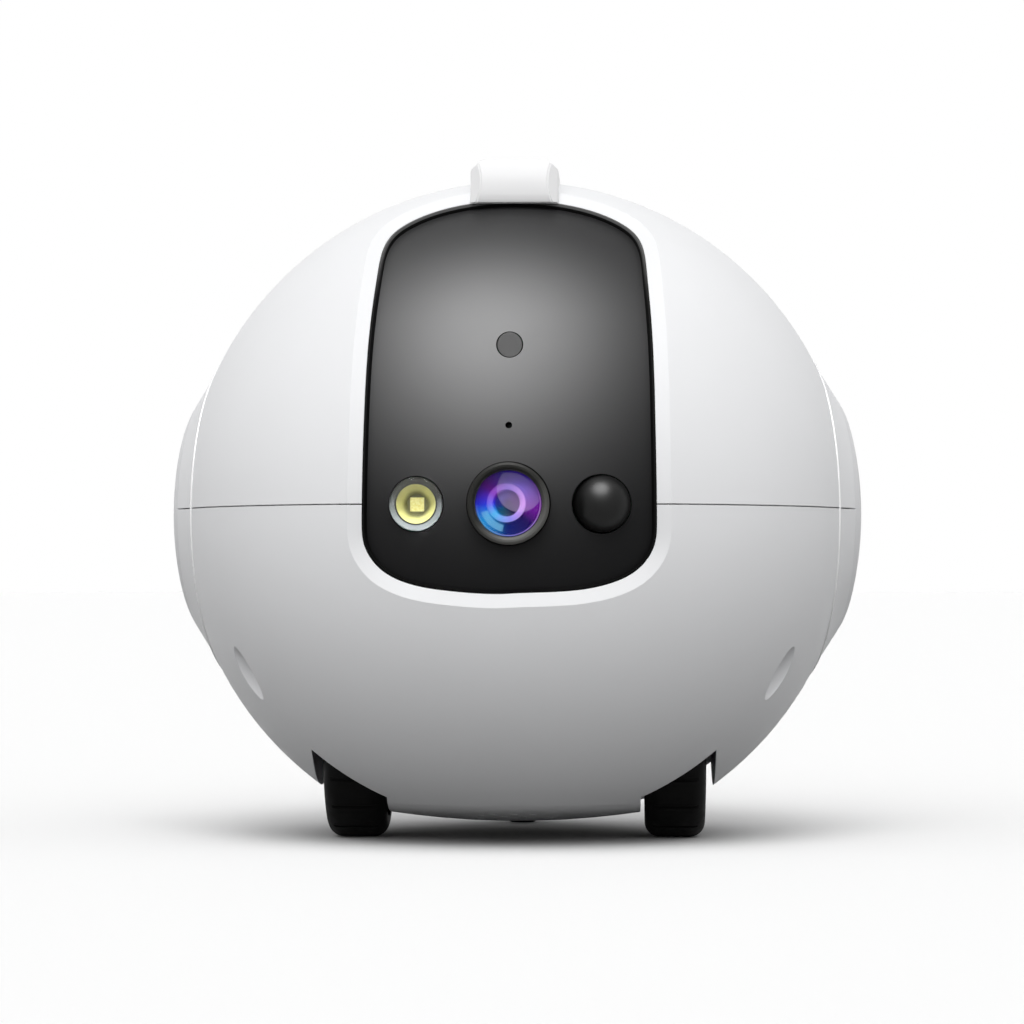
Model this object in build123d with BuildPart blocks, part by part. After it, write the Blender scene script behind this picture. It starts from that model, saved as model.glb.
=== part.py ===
from build123d import *
import os
from math import acos, cos, pi, radians, sin, sqrt, tan

# A ball-shaped, wheeled treat tossing pet camera. Millimetres, +Z up, the front faces -Y.
# The origin is on the floor, straight below the middle of the ball.

os.makedirs("parts", exist_ok=True)

# ---- Driving dimensions: casing -------------------------------------------------------------------
ball_r = 75.0              # outer radius of the ball
wall = 2.4                 # casing wall
ground_gap = 3.4           # belly above the floor
belly_cut = 6.4            # height that the flattened belly takes off the ball
belly_r = 190.0            # radius of the flattened belly
belly_round = 14.0         # rounding between belly and ball
seam_rise = 1.1            # seam above the ball's centre
seam_gap = 0.24            # open line between the two shells
tongue_t = 1.0             # tongue on the lower shell, behind the seam
tongue_h = 1.8
tongue_play = 0.12
tongue_end = 5.0           # the tongue stops short of the panel's recess

hub_back = 12.0            # degrees that the side hubs point backwards
hub_rise = 2.3             # how far the hub's crown stands over the ball
hub_crease_r = 37.5        # where the hub's collar leaves the ball
hub_crown_r = 27.1         # where the collar would meet the crown
hub_round = 5.0            # rounding between collar and crown
hub_foot = 3.0             # how far the hub reaches into the ball beside its crease
cap_rim_r = 29.3           # rim of the side cap
cap_hole_r = 26.5          # hole in the shells under the cap
cap_seat_t = 1.4           # cap thickness at its rim
cap_spigot_t = 1.8
cap_spigot_h = 5.0
cap_wall = 2.2

scoop_from = (61.1, -32.9, -28.4)      # upper end of the finger scoop, as seen from the ball's centre
scoop_to = (54.3, -30.9, -41.5)        # lower end
scoop_r = 3.3
scoop_lift = 1.2
shell_post_inset = 15.6    # axis of a screw post inside the ball's surface
shell_post_r = 4.2
shell_post_wall = 1.0      # round the screw's head
shell_screw_drop = 27.0    # screw's seat below the ball's centre
shell_screw_len = 38.0

# ---- Driving dimensions: front panel -------------------------------------------------------------
# Right half of the panel's edge: sideways place in millimetres, and the angle above the horizon.
panel_half = [(0, -13.9), (12, -13.7), (20.8, -12.9), (27.5, -10.6), (31.0, -6.6), (31.6, -2), (31.3, 16),
              (30.7, 34), (29.6, 50), (28.4, 59.4), (26.1, 63.8), (21.5, 66.8), (12, 68.9), (0, 69.3)]
panel_look = 28.0          # degrees above the horizon that the middle of the panel faces
bevel_across = 2.6         # white bevel round the recess, along the ball
bevel_deep = 1.6
panel_sink = 3.0           # panel's face below the ball's surface
panel_t = 2.2
panel_lap = 2.8            # panel's margin behind the shells
gasket_lip = 0.5           # dark lining of the recess
gasket_reveal = 0.1        # lining below the bevel's inner edge

sensor_pitch = 19.35
lens_ring_r = 8.53
lens_ring_chamfer = 0.5
lens_glass_r = 7.07
lens_glass_t = 1.0           # at its edge
lens_recess = 1.6          # glass edge behind the ring's front
lens_crown = 0.9           # rise of the domed glass
iris_r = 4.05
iris_hole_r = 2.5
iris_step = 0.5
element_t = 0.8
barrel_r = 8.2
barrel_len = 10.5
barrel_ribs = 5
rib_deep = 0.5
holder_t = 3.0
holder_margin = 1.0
holder_corner = 1.5
lamp_r = 5.6
lamp_inset = 4.0           # lens face behind the ball's front
lamp_edge = 0.7
lamp_lens_t = 1.2
lamp_bowl_deep = 5.8
lamp_bowl_r = 4.1
lamp_chip_w = 2.9
lamp_chip_t = 0.6
pir_r = 6.0
pir_inset = 1.0            # dome's tip behind the ball's front
pir_wall = 0.8
pir_skirt = 4.5
pir_can_r = 4.1
pir_can_h = 3.0
pir_can_edge = 0.6
pipe_rise = 33.6           # light sensor window above the sensors' row
pipe_r = 2.6
pipe_sink = 0.6            # window's face behind the panel's
mic_rise = 16.4
mic_hole_r = 0.7
mic_boot_r = 3.0
mic_boot_gap = 0.3         # boot behind the panel
trim_gap = 0.25            # clearance of pieces that fill a hole in the panel

# ---- Driving dimensions: running gear ------------------------------------------------------------
wheel_r = 25.0
tyre_w = 13.4
tyre_in = 28.6             # inner side of the tyre from the middle plane
tyre_t = 4.5
tyre_round = 3.2
tread_count = 20
tread_w = 1.0
tread_deep = 0.4
axle_y = -5.0
axle_r = 1.5
rim_t = 2.0
rim_inset = 0.8            # rim behind the tyre's sides
hub_inset = 1.4
web_inset = 2.0
web_back = 2.0             # recess in the rim's inner face
rim_hub_r = 5.0
dimple_count = 5
dimple_deep = 2.0
dimple_margin = 1.6
well_side_gap = 1.0        # wheel well beside the tyre, towards the middle
well_room = 2.0            # room round the tyre on its other sides
well_wall = 2.0
axle_hole_r = 3.2
run_gap = 0.05             # radial clearance of a running fit

motor_w = 12.0             # gear motor across
gearbox_len = 9.0
motor_can_len = 14.5
motor_round = 0.6
axle_in_box = 6.0          # how far the axle reaches into the gearbox

caster_inset = 30.0        # swivel axis inside the ball's back
caster_trail = 3.0
caster_r = 8.0
caster_w = 7.0
caster_round = 1.2
caster_axle_r = 1.0
fork_gap = 0.5
fork_t = 1.6
fork_crown_t = 1.9
fork_crown_r = 6.0
kingpin_r = 2.0
kingpin_len = 7.0
kingpin_play = 0.5         # over the kingpin
pocket_r = 13.0
pocket_wall = 1.6
pocket_top = 21.0
fork_drop = 0.4            # fork's crown below the pocket's roof
fork_eye_r = 2.6
fork_root = 1.8            # half length of a fork arm at the crown

# ---- Driving dimensions: inner frame and electronics ---------------------------------------------
frame_t = 2.1
frame_side_gap = 1.0       # frame beside the wheel wells
frame_corner = 4.0
frame_front = -30.0
cradle_t = 1.2
clamp_t = 1.6
clamp_corner = 1.5
leg_inset = 3.6            # leg's axis inside the frame's side
leg_front_y = -22.0
leg_back_y = 20.0
leg_r = 3.2
leg_screw_bite = 8.0
leg_drop = 5.0             # the frame's legs end this far below the axle, on the lower shell's posts
screw_r = 1.5
screw_head_r = 2.8
screw_head_t = 1.6
cell_r = 9.1
cell_len = 65.0
cell_front = -23.5
cell_gap = 0.3
cell_edge = 0.8
rail_front = -15.0
rail_back = 14.0
rail_h = 6.5
small_screw_r = 1.0
small_head_r = 1.9
small_head_t = 1.3
tray_wall = 1.6
contact_t = 0.5
contact_half_w = 5.5
contact_room = 1.5
board_t = 1.6
board_over_well = 2.0      # main board over the wheel wells
board_half_w = 29.0
board_corner = 3.0
board_front = -44.0
board_back = 22.0
small_screw_bite = 4.0
board_post_front = -13.0
board_post_back = 12.0
board_post_r = 2.4
board_post_inset = 1.6     # board post's axis inside the frame's side
sensor_board_inset = 18.0  # board's front behind the ball's
sensor_board_gap = 1.8     # board's rim inside the panel
sensor_board_half_w = 28.0
sensor_board_drop = 12.0   # lower edge below the ball's centre
sensor_post_r = 2.2
sensor_post_x = 25.0       # lower posts
sensor_post_drop = 7.0
sensor_post_edge = 4.1     # upper posts, inside the board's rim
sensor_post_turn = 35.5    # degrees from straight up
speaker_y = -26.0
speaker_r = 13.5
speaker_edge_gap = 2.24    # from the speaker's front edge to the shell
speaker_t = 5.5
speaker_basket_t = 2.2
speaker_magnet_r = 9.5
magnet_edge = 0.8
ring_t = 1.2               # ring that holds the speaker
sound_hole_r = 0.9
sound_pitch = 4.2          # between the rings of sound holes
sound_ring_count = 2
rear_board_inset = 13.0    # board's front inside the ball's back
rear_board_t = 1.2
rear_post_x = 10.5
rear_post_r = 2.0
rear_post_low = 2.5        # lower posts below the socket
rear_post_high = 1.5       # upper posts above the button
usb_drop = 23.0            # socket below the ball's centre
usb_w = 8.9
usb_h = 3.2
usb_inset = 4.1            # socket's mouth inside the ball's back
usb_deep = 6.5
usb_wall = 0.35
usb_tongue_w = 6.2
usb_tongue_t = 0.7
usb_gap = 0.25
button_drop = 12.0         # button below the ball's centre
button_r = 4.7
button_gap = 0.3
button_travel = 1.0
button_play = 0.3
button_stem = 1.8
button_stem_r = 1.5
button_flange_t = 1.0
button_flange_r = 6.0
button_edge = 0.8
switch_w = 6.0
switch_t = 2.1

# ---- Driving dimensions: treat store and thrower -------------------------------------------------
lid_y = 11.0
lid_hole_r = 27.0
lid_gap = 0.3
lid_t = 2.2
lip_in = 2.6               # lip of the shell under the lid
lip_t = 2.0
skirt_r = 22.4
skirt_t = 1.6
skirt_reach = 7.0          # lower edge of the skirt, below the ball's surface
seal_lift = 1.0            # seal over the skirt's edge
seal_t = 0.7
seal_h = 1.6
hinge_back = 2.6           # hinge pin behind the lid's opening
hinge_stand = 3.24         # hinge pin over the ball's surface
hinge_r = 2.2
hinge_pin_r = 1.0
hinge_half_w = 4.7
hinge_ear_t = 3.0
# Side views from the hinge pin, in Y and Z: foot of an ear, and arm of the lid.
ear_foot = [(-2.0, -3.2), (-2.2, 0), (2.2, 0), (4.5, -6.0), (0, -5.0)]
lid_arm = [(-7.6, 0.3), (-6.6, 1.9), (-0.4, 2.15), (0, -1.6), (-1.4, -1.1), (-3.2, -1.35), (-4.6, -0.8)]
tab_w = 19.3
# Side view of the lid's tab, from the lid's front edge and the ball's top: up its front, back over its top,
# and inside its leg.
tab_outline = [(-11.6, -6.1), (-12.4, -2.5), (-12.2, 1.2), (-11.0, 2.8), (4.0, 2.8), (14.0, 0.6), (14.0, -6.1),
               (-9.9, -6.1)]
tab_corner = 2.2           # chamfer of the top corners, seen from the front
tab_side = 1.8             # chamfer of the upright corners, seen from above
tab_clear = 0.4            # tab over the shell in front of the lid

store_r = 23.4             # treat store, inside
store_wall = 1.8
store_floor = 1.6
store_gap = 0.05           # the store's mouth fits under the lid's lip
store_slot_from = 200.0    # feed slot in the store's floor, degrees
store_slot_sweep = 140.0
store_slot_w = 13.0
store_slot_ring = 12.0
case_rise = 24.5           # underside of the dispenser case over the ball's centre
case_wall = 2.0
case_floor = 2.0
lobe_r = 7.6               # room for the pinion
case_r = 22.9
case_h = 14.4
rotor_r = 18.2
rotor_h = 11.4
rotor_lift = 0.3
pocket_count = 5
treat_pocket_r = 5.8
treat_ring_r = 11.3
rotor_shaft_r = 2.5
rotor_shaft_reach = 2.0    # feed wheel's shaft below the case
gear_module = 1.0
rotor_teeth = 42
pinion_teeth = 12
gear_h = 4.2
gear_play = 0.12
pressure_angle = 20.0
pinion_shaft_r = 1.0
pinion_shaft_reach = 4.5   # motor's shaft below the case
motor_bore_deep = 6.5
shaft_hole_r = 1.6
feed_motor_r = 10.0
feed_motor_h = 21.0
motor_edge = 1.2
drop_r = 6.6

toss_back = 19.7           # thrower's axis behind the drop hole
toss_drop = 19.5           # thrower's axis below the dispenser case
toss_r = 14.6
toss_case_r = 15.4
toss_half_w = 10.5
toss_wall = 1.6
toss_shaft_r = 1.5
toss_hub_r = 4.0
paddle_count = 4
paddle_t = 1.6
toss_motor_r = 8.0
toss_motor_len = 18.0
toss_shaft_in_motor = 8.0
paddle_inset = 0.7
chute_half_w = 6.7         # treat chute under the drop hole, along Y
chute_bend = (11.4, 9.0)   # rear corner of the chute, before and over the thrower's axis
chute_foot = (8.0, 13.0)   # where the chute's floor meets the drum, before and below the axis
chute_knee = 3.0           # front end of the chute's floor, over the axis
duct_start = 15.3          # roof of the outlet duct over the axis
duct_floor_start = 13.5    # floor of the duct behind the axis
outlet_h = 16.0
outlet_inset = 9.0         # housing ends inside the ball's back
bezel_wall = 1.6
bezel_gap = 0.2
flap_t = 1.6
flap_pin_inset = 0.8828    # flap's pin inside the bezel's outer corner
flap_pin_drop = 1.9
flap_pin_r = 0.6
flap_barrel_r = 1.3
flap_gap = 0.35

# ---- Places worked out from the driving dimensions ------------------------------------------------
SIDES = {"left": -1, "right": 1}
far = 3 * ball_r
centre_z = ground_gap + ball_r - belly_cut
centre = Vector(0, 0, centre_z)
seam_z = centre_z + seam_rise
inner_r = ball_r - wall
shell_post_x = (ball_r - shell_post_inset) / sqrt(2)
shell_post_y = shell_post_x
shell_screw_seat = centre_z - shell_screw_drop

panel_r = ball_r - panel_sink
panel_in_r = panel_r - panel_t
sensor_row_z = seam_z      # lamp, camera and motion sensor lie level with the seam
lamp_front = lamp_inset - ball_r
pir_front = pir_inset - ball_r
pipe_z = sensor_row_z + pipe_rise
pipe_front = pipe_sink - sqrt(panel_r**2 - (pipe_z - centre_z)**2)
mic_z = sensor_row_z + mic_rise
mic_front = mic_boot_gap - sqrt(panel_in_r**2 - (mic_z + mic_boot_r - centre_z)**2)
sensor_board_y = sensor_board_inset - ball_r
sensor_board_r = sqrt(panel_in_r**2 - sensor_board_y**2) - sensor_board_gap
sensor_board_low = centre_z - sensor_board_drop
post_reach = sensor_board_r - sensor_post_edge
post_x = post_reach * sin(radians(sensor_post_turn))
post_z = centre_z + post_reach * cos(radians(sensor_post_turn))
sensor_posts = [(side * sensor_post_x, centre_z - sensor_post_drop) for side in SIDES.values()]
sensor_posts += [(side * post_x, post_z) for side in SIDES.values()]

look = Vector(0, -cos(radians(panel_look)), sin(radians(panel_look)))
crown_r = ball_r + hub_rise
crease_w = sqrt(ball_r**2 - hub_crease_r**2)
crown_w = sqrt(crown_r**2 - hub_crown_r**2)
collar_slope = (crown_w - crease_w) / (hub_crease_r - hub_crown_r)

tyre_out = tyre_in + tyre_w
well_in = tyre_in - well_side_gap
well_out = tyre_out + well_room
well_top = 2 * wheel_r + well_room
well_front = axle_y - wheel_r - well_room
well_back = axle_y + wheel_r + well_room
box_face = well_in - well_wall
caster_y = ball_r - caster_inset

frame_half_w = well_in - well_wall - frame_side_gap
frame_z = wheel_r + motor_w / 2
frame_top = frame_z + frame_t
frame_back = cell_front + cell_len + contact_room + tray_wall
leg_x = frame_half_w - leg_inset
leg_z = wheel_r - leg_drop
board_z = well_top + well_wall + board_over_well
board_post_x = frame_half_w - board_post_inset
speaker_z = centre_z - sqrt(inner_r**2 - (speaker_r + speaker_edge_gap - speaker_y)**2)
rear_board_y = ball_r - rear_board_inset
usb_z = centre_z - usb_drop
usb_back = ball_r - usb_inset
button_z = centre_z - button_drop
rear_post_heights = (usb_z - rear_post_low, button_z + rear_post_high)

lid_in_r = ball_r - lid_t
lip_r = lid_in_r - lid_gap
store_top_r = lip_r - lip_t - store_gap
hinge_y = lid_y + lid_hole_r + hinge_back
hinge_z = centre_z + sqrt(ball_r**2 - hinge_y**2) + hinge_stand
tab_side_view = [(lid_y - lid_hole_r + dy, centre_z + ball_r + dz) for dy, dz in tab_outline]
case_z = centre_z + case_rise
case_top = case_z + case_h
drop_y = lid_y + treat_ring_r
pinion_y = lid_y - gear_module * (rotor_teeth + pinion_teeth) / 2

toss_y = drop_y + toss_back
toss_z = case_z - toss_drop
outlet_high = case_z
outlet_low = outlet_high - outlet_h
outlet_end = ball_r - outlet_inset
bezel_half_w = toss_half_w + bezel_wall
flap_pin_z = outlet_high - flap_pin_drop
flap_pin_y = sqrt(ball_r**2 - bezel_half_w**2 - (flap_pin_z - centre_z)**2) - flap_pin_inset
# Inside of the thrower's housing beside its round drum, in Y and Z: treat chute and outlet duct.
chute = [(drop_y - chute_half_w, case_z), (drop_y + chute_half_w, case_z),
         (toss_y - chute_bend[0], toss_z + chute_bend[1]), (toss_y, toss_z),
         (toss_y - chute_foot[0], toss_z - chute_foot[1]), (drop_y - chute_half_w, toss_z + chute_knee)]
duct = [(toss_y, toss_z + duct_start), (outlet_end, outlet_high), (ball_r, outlet_high), (ball_r, outlet_low),
        (toss_y + duct_floor_start, outlet_low), (toss_y, toss_z)]


def finish(builder, node):
    """Label a finished piece and write its STEP file."""
    builder.part.label = node
    export_step(builder.part, f"parts/{node}.step")


def front_plane(y):
    """Upright plane at y that faces the front, drawn in X and Z."""
    return Plane.XZ.offset(-y)


def side_plane(x=0.0):
    """Upright plane at x that faces +X, drawn in Y and Z."""
    return Plane.YZ.offset(x)


def ball(radius):
    """A full sphere about the ball's centre, with its own seam turned to the back."""
    with BuildPart(Plane.XY.offset(centre_z)) as sphere:
        Sphere(radius, rotation=(0, 0, 90))
    return sphere.part


def belly(inset):
    """The large sphere that flattens the underside."""
    with BuildPart(Plane.XY.offset(ground_gap + belly_r)) as sphere:
        Sphere(belly_r - inset)
    return sphere.part


def block(x0, x1, y0, y1, z0, z1):
    """A plain block between the given faces, as a cutting or joining tool."""
    with BuildPart(Plane.XY.offset(z0)) as tool:
        with BuildSketch(Plane.XY.offset(z0)):
            with Locations(((x0 + x1) / 2, (y0 + y1) / 2)):
                Rectangle(x1 - x0, y1 - y0)
        extrude(amount=z1 - z0)
    return tool.part


def rod(x, y, z0, z1, radius, inner=0.0):
    """An upright round rod or tube."""
    with BuildPart() as tool:
        with BuildSketch(Plane.XY.offset(z0)):
            with Locations((x, y)):
                Circle(radius)
                if inner:
                    Circle(inner, mode=Mode.SUBTRACT)
        extrude(amount=z1 - z0)
    return tool.part


def front_rod(x, z, y0, y1, radius, inner=0.0):
    """A round rod or tube along Y, from y0 in front to y1 behind."""
    with BuildPart() as tool:
        with BuildSketch(front_plane(y1)):
            with Locations((x, z)):
                Circle(radius)
                if inner:
                    Circle(inner, mode=Mode.SUBTRACT)
        extrude(amount=y1 - y0)
    return tool.part


def side_rod(y, z, x0, x1, radius, inner=0.0):
    """A round rod or tube along X."""
    with BuildPart() as tool:
        with BuildSketch(side_plane(x0)):
            with Locations((y, z)):
                Circle(radius)
                if inner:
                    Circle(inner, mode=Mode.SUBTRACT)
        extrude(amount=x1 - x0)
    return tool.part


def level_band(z0, z1):
    """A wide slab between two heights."""
    return block(-far, far, -far, far, z0, z1)


def scoop(side):
    """Spindle that cuts a finger scoop into the flank."""
    start = Vector(side * scoop_from[0], scoop_from[1], scoop_from[2]).normalized() * ball_r
    end = Vector(side * scoop_to[0], scoop_to[1], scoop_to[2]).normalized() * ball_r
    out = (start + end).normalized()
    along = (end - start) - out * (end - start).dot(out)
    plane = Plane(origin=centre + out * (ball_r + scoop_lift), x_dir=along, z_dir=out)
    half = along.length / 2 + scoop_lift
    with BuildPart() as spindle:
        with BuildSketch(plane):
            with BuildLine():
                ThreePointArc((-half, 0), (0, scoop_r), (half, 0))
                Line((half, 0), (-half, 0))
            make_face()
        revolve(axis=Axis(plane.origin, plane.x_dir))
    return spindle.part


def panel_edge(grow):
    """Points along the panel's edge, moved outwards by grow, from the ball's centre."""
    right = [Vector(x, ball_r * radians(angle)) for x, angle in panel_half]
    left = [Vector(-p.X, p.Y) for p in reversed(right[1:-1])]
    loop = right + left
    points = []
    for i, p in enumerate(loop):
        along = (loop[(i + 1) % len(loop)] - loop[i - 1]).normalized()
        q = p + Vector(along.Y, -along.X) * grow
        depth = sqrt(ball_r**2 - q.X**2)
        points.append(Vector(q.X, -depth * cos(q.Y / ball_r), depth * sin(q.Y / ball_r)))
    return points


def panel_cone(grow):
    """Everything seen from the ball's centre through the panel's outline."""
    with BuildPart() as cone:
        for reach in (ball_r / 5, ball_r * 1.6):
            plane = Plane(origin=centre + look * reach, x_dir=(1, 0, 0), z_dir=look)
            with BuildSketch(plane):
                with BuildLine():
                    flat = [p * (reach / p.dot(look)) for p in panel_edge(grow)]
                    Spline(*[(p.X, p.dot(plane.y_dir)) for p in flat], periodic=True)
                make_face()
        loft(ruled=True)
    return cone.part


def hub_axis(side):
    """Direction of a side hub's axis."""
    return Vector(side * cos(radians(hub_back)), sin(radians(hub_back)), 0)


def hub_plane(side):
    """Plane through a hub's axis: X is the radius, upwards, and Y runs out along the axis."""
    out = hub_axis(side)
    return Plane(origin=centre, x_dir=(0, 0, 1), z_dir=(-out.Y, out.X, 0))


def collar_w(radius):
    """Distance from the ball's centre, along the hub's axis, of the straight collar."""
    return crease_w + collar_slope * (hub_crease_r - radius)


def gear_outline(teeth, module, play):
    """Involute tooth outline as a closed list of points."""
    pitch_r = module * teeth / 2
    base_r = pitch_r * cos(radians(pressure_angle))
    tip_r = pitch_r + module
    root_r = pitch_r - 1.25 * module
    half_tooth = pi / (2 * teeth) - play / (2 * pitch_r)
    involute = tan(radians(pressure_angle)) - radians(pressure_angle)
    points = []
    for tooth in range(teeth):
        middle = 2 * pi * tooth / teeth
        flank = []
        for step in range(5):
            r = max(base_r, root_r) + (tip_r - max(base_r, root_r)) * step / 4
            roll = acos(min(1.0, base_r / r))
            flank.append((r, half_tooth + involute - (tan(roll) - roll)))
        root_half = flank[0][1]
        rising = [(root_r, root_half)] + flank
        for r, half in rising:
            points.append((r * cos(middle - half), r * sin(middle - half)))
        for r, half in reversed(rising):
            points.append((r * cos(middle + half), r * sin(middle + half)))
    return points


# ---- Forms shared by the casing pieces ------------------------------------------------------------
cap_seat_w = collar_w(cap_rim_r) - cap_seat_t

with BuildPart() as outer_form:
    add(ball(ball_r))
    for side in SIDES.values():
        with BuildSketch(hub_plane(side)):
            with BuildLine():
                foot_r = hub_crease_r + hub_foot
                Polyline((0, crease_w / 2), (foot_r, crease_w / 2), (foot_r, collar_w(foot_r)),
                         (cap_rim_r, collar_w(cap_rim_r)), (cap_rim_r, cap_seat_w), (0, cap_seat_w), close=True)
            make_face()
        revolve(axis=Axis(centre, hub_axis(side)))
    add(belly(0), mode=Mode.INTERSECT)
    belly_edge = outer_form.edges().filter_by(GeomType.CIRCLE).filter_by(
        lambda e: e.center().Z < centre_z / 2 and e.radius < ball_r * 0.6 and abs(e.normal().Z) > 0.99)
    fillet(belly_edge, belly_round)

with BuildPart() as inner_form:
    add(ball(inner_r))
    add(belly(wall), mode=Mode.INTERSECT)

with BuildPart() as wheel_wells:
    for side in SIDES.values():
        x0, x1 = sorted((side * well_in, side * well_out))
        add(block(x0, x1, well_front, well_back, -1, well_top))

with BuildPart() as well_boxes:
    for side in SIDES.values():
        x0, x1 = sorted((side * (well_in - well_wall), side * (well_out + well_wall)))
        add(block(x0, x1, well_front - well_wall, well_back + well_wall, 0, well_top + well_wall))
    add(outer_form.part, mode=Mode.INTERSECT)

# The bare skin of the ball, with the panel's recess, its white bevel and the holes under the side caps.
with BuildPart() as skin:
    add(outer_form.part)
    add(inner_form.part, mode=Mode.SUBTRACT)
    add(panel_cone(0), mode=Mode.SUBTRACT)
    ball_face = skin.faces().filter_by(GeomType.SPHERE).filter_by(
        lambda f: abs(f.radius - ball_r) < 0.01).sort_by(SortBy.AREA)[-1]
    recess_rim = ball_face.edges().filter_by(GeomType.BSPLINE).filter_by(
        lambda e: e.length > ball_r and (e @ 0.5).Z > centre_z / 2)
    chamfer(recess_rim, bevel_across, bevel_deep, reference=ball_face)
    for side in SIDES.values():
        for depth, radius in ((ball_r / 2, cap_hole_r), (cap_seat_w, cap_rim_r)):
            with BuildSketch(Plane(origin=centre + hub_axis(side) * depth, z_dir=hub_axis(side))):
                Circle(radius)
            extrude(amount=ball_r, mode=Mode.SUBTRACT)


# ---- Casing ---------------------------------------------------------------------------------------
with BuildPart() as tongue:
    add(skin.part)
    add(ball(inner_r + tongue_t), mode=Mode.INTERSECT)
    add(level_band(seam_z - tongue_h, seam_z + tongue_h), mode=Mode.INTERSECT)
    add(panel_cone(tongue_end), mode=Mode.SUBTRACT)

# Everything that stands inside the lower shell: caster pocket and kingpin boss, posts for the inner frame,
# the speaker's ring, the screw posts and the rear board's posts.
with BuildPart() as lower_posts:
    add(rod(0, caster_y, 0, pocket_top + pocket_wall, pocket_r + pocket_wall))
    add(rod(0, caster_y, pocket_top, pocket_top + kingpin_len + pocket_wall, kingpin_r + pocket_wall))
    for side in SIDES.values():
        for y in (leg_front_y, leg_back_y):
            add(rod(side * leg_x, y, 0, leg_z, leg_r))
        add(rod(side * shell_post_x, shell_post_y, 0, seam_z - seam_gap / 2, shell_post_r))
        for z in rear_post_heights:
            add(front_rod(side * rear_post_x, z, rear_board_y + rear_board_t, ball_r, rear_post_r))
    add(rod(0, speaker_y, 0, speaker_z, speaker_r + ring_t, speaker_r - ring_t))
    add(outer_form.part, mode=Mode.INTERSECT)

with BuildPart() as lower_shell:
    add(skin.part)
    add(level_band(seam_z - seam_gap / 2, far), mode=Mode.SUBTRACT)
    add(tongue.part)
    add(well_boxes.part)
    add(lower_posts.part)
    add(wheel_wells.part, mode=Mode.SUBTRACT)
    for side in SIDES.values():
        x0, x1 = sorted((side * (well_in - 2 * well_wall), side * (well_in + well_wall)))
        add(side_rod(axle_y, wheel_r, x0, x1, axle_hole_r), mode=Mode.SUBTRACT)
        add(rod(side * shell_post_x, shell_post_y, 0, shell_screw_seat, shell_post_r - shell_post_wall), mode=Mode.SUBTRACT)
        add(rod(side * shell_post_x, shell_post_y, 0, seam_z, screw_r), mode=Mode.SUBTRACT)
        for y in (leg_front_y, leg_back_y):
            add(rod(side * leg_x, y, leg_z - leg_screw_bite, leg_z, screw_r), mode=Mode.SUBTRACT)
        add(scoop(side), mode=Mode.SUBTRACT)
    add(rod(0, caster_y, -1, pocket_top, pocket_r), mode=Mode.SUBTRACT)
    add(rod(0, caster_y, 0, pocket_top + kingpin_len + kingpin_play, kingpin_r + run_gap), mode=Mode.SUBTRACT)
    add(front_rod(0, button_z, rear_board_y, ball_r + 2, button_r + button_gap), mode=Mode.SUBTRACT)
    # sound holes under the speaker
    with BuildSketch(Plane.XY):
        with Locations((0, speaker_y)):
            Circle(sound_hole_r)
            for ring in range(1, sound_ring_count + 1):
                with PolarLocations(ring * sound_pitch, 6 * ring):
                    Circle(sound_hole_r)
    extrude(amount=speaker_z, mode=Mode.SUBTRACT)
    # slot for the charging socket
    with BuildSketch(front_plane(ball_r + 2)):
        with Locations((0, usb_z)):
            SlotOverall(usb_w + 2 * usb_gap, usb_h + 2 * usb_gap)
    extrude(amount=ball_r - rear_board_y, mode=Mode.SUBTRACT)
finish(lower_shell, "lower_shell")

# Ring under the lid's edge, with the opening trimmed to the lid later.
with BuildPart() as lid_lip:
    add(ball(inner_r + wall / 2))
    add(ball(lip_r - lip_t), mode=Mode.SUBTRACT)
    add(rod(0, lid_y, centre_z, far, lid_hole_r + lip_in, lid_hole_r - lip_in), mode=Mode.INTERSECT)

with BuildPart() as lid_space:
    add(rod(0, lid_y, centre_z, far, lid_hole_r))
    add(ball(lip_r), mode=Mode.SUBTRACT)

with BuildPart() as hinge_ears:
    for side in SIDES.values():
        x0, x1 = sorted((side * (hinge_half_w + lid_gap), side * (hinge_half_w + lid_gap + hinge_ear_t)))
        with BuildSketch(side_plane(x0)):
            with Locations((hinge_y, hinge_z)):
                Circle(hinge_r)
            with BuildLine():
                Polyline(*[(hinge_y + dy, hinge_z + dz) for dy, dz in ear_foot], close=True)
            make_face()
        extrude(amount=x1 - x0)

with BuildPart() as seam_rebate:
    add(ball(inner_r + tongue_t + tongue_play))
    add(level_band(0, seam_z + tongue_h + tongue_play), mode=Mode.INTERSECT)
    add(panel_cone(tongue_end - tongue_play), mode=Mode.SUBTRACT)

with BuildPart() as upper_posts:
    for side in SIDES.values():
        add(rod(side * shell_post_x, shell_post_y, seam_z + seam_gap / 2, far, shell_post_r))
    add(ball(inner_r + wall / 2), mode=Mode.INTERSECT)

with BuildPart() as upper_shell:
    add(skin.part)
    add(level_band(-far, seam_z + seam_gap / 2), mode=Mode.SUBTRACT)
    add(seam_rebate.part, mode=Mode.SUBTRACT)
    add(upper_posts.part)
    add(lid_lip.part)
    add(lid_space.part, mode=Mode.SUBTRACT)
    add(rod(0, lid_y, centre_z, far, lid_hole_r - lip_in), mode=Mode.SUBTRACT)
    add(hinge_ears.part)
    add(side_rod(hinge_y, hinge_z, -far, far, hinge_pin_r), mode=Mode.SUBTRACT)
    for side in SIDES.values():
        add(rod(side * shell_post_x, shell_post_y, seam_z, shell_screw_seat + shell_screw_len, screw_r),
            mode=Mode.SUBTRACT)
    mouth_half_w = bezel_half_w + bezel_gap
    add(block(-mouth_half_w, mouth_half_w, ball_r / 2, far, outlet_low - bezel_wall - bezel_gap,
              outlet_high + bezel_wall + bezel_gap), mode=Mode.SUBTRACT)
finish(upper_shell, "upper_shell")

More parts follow.
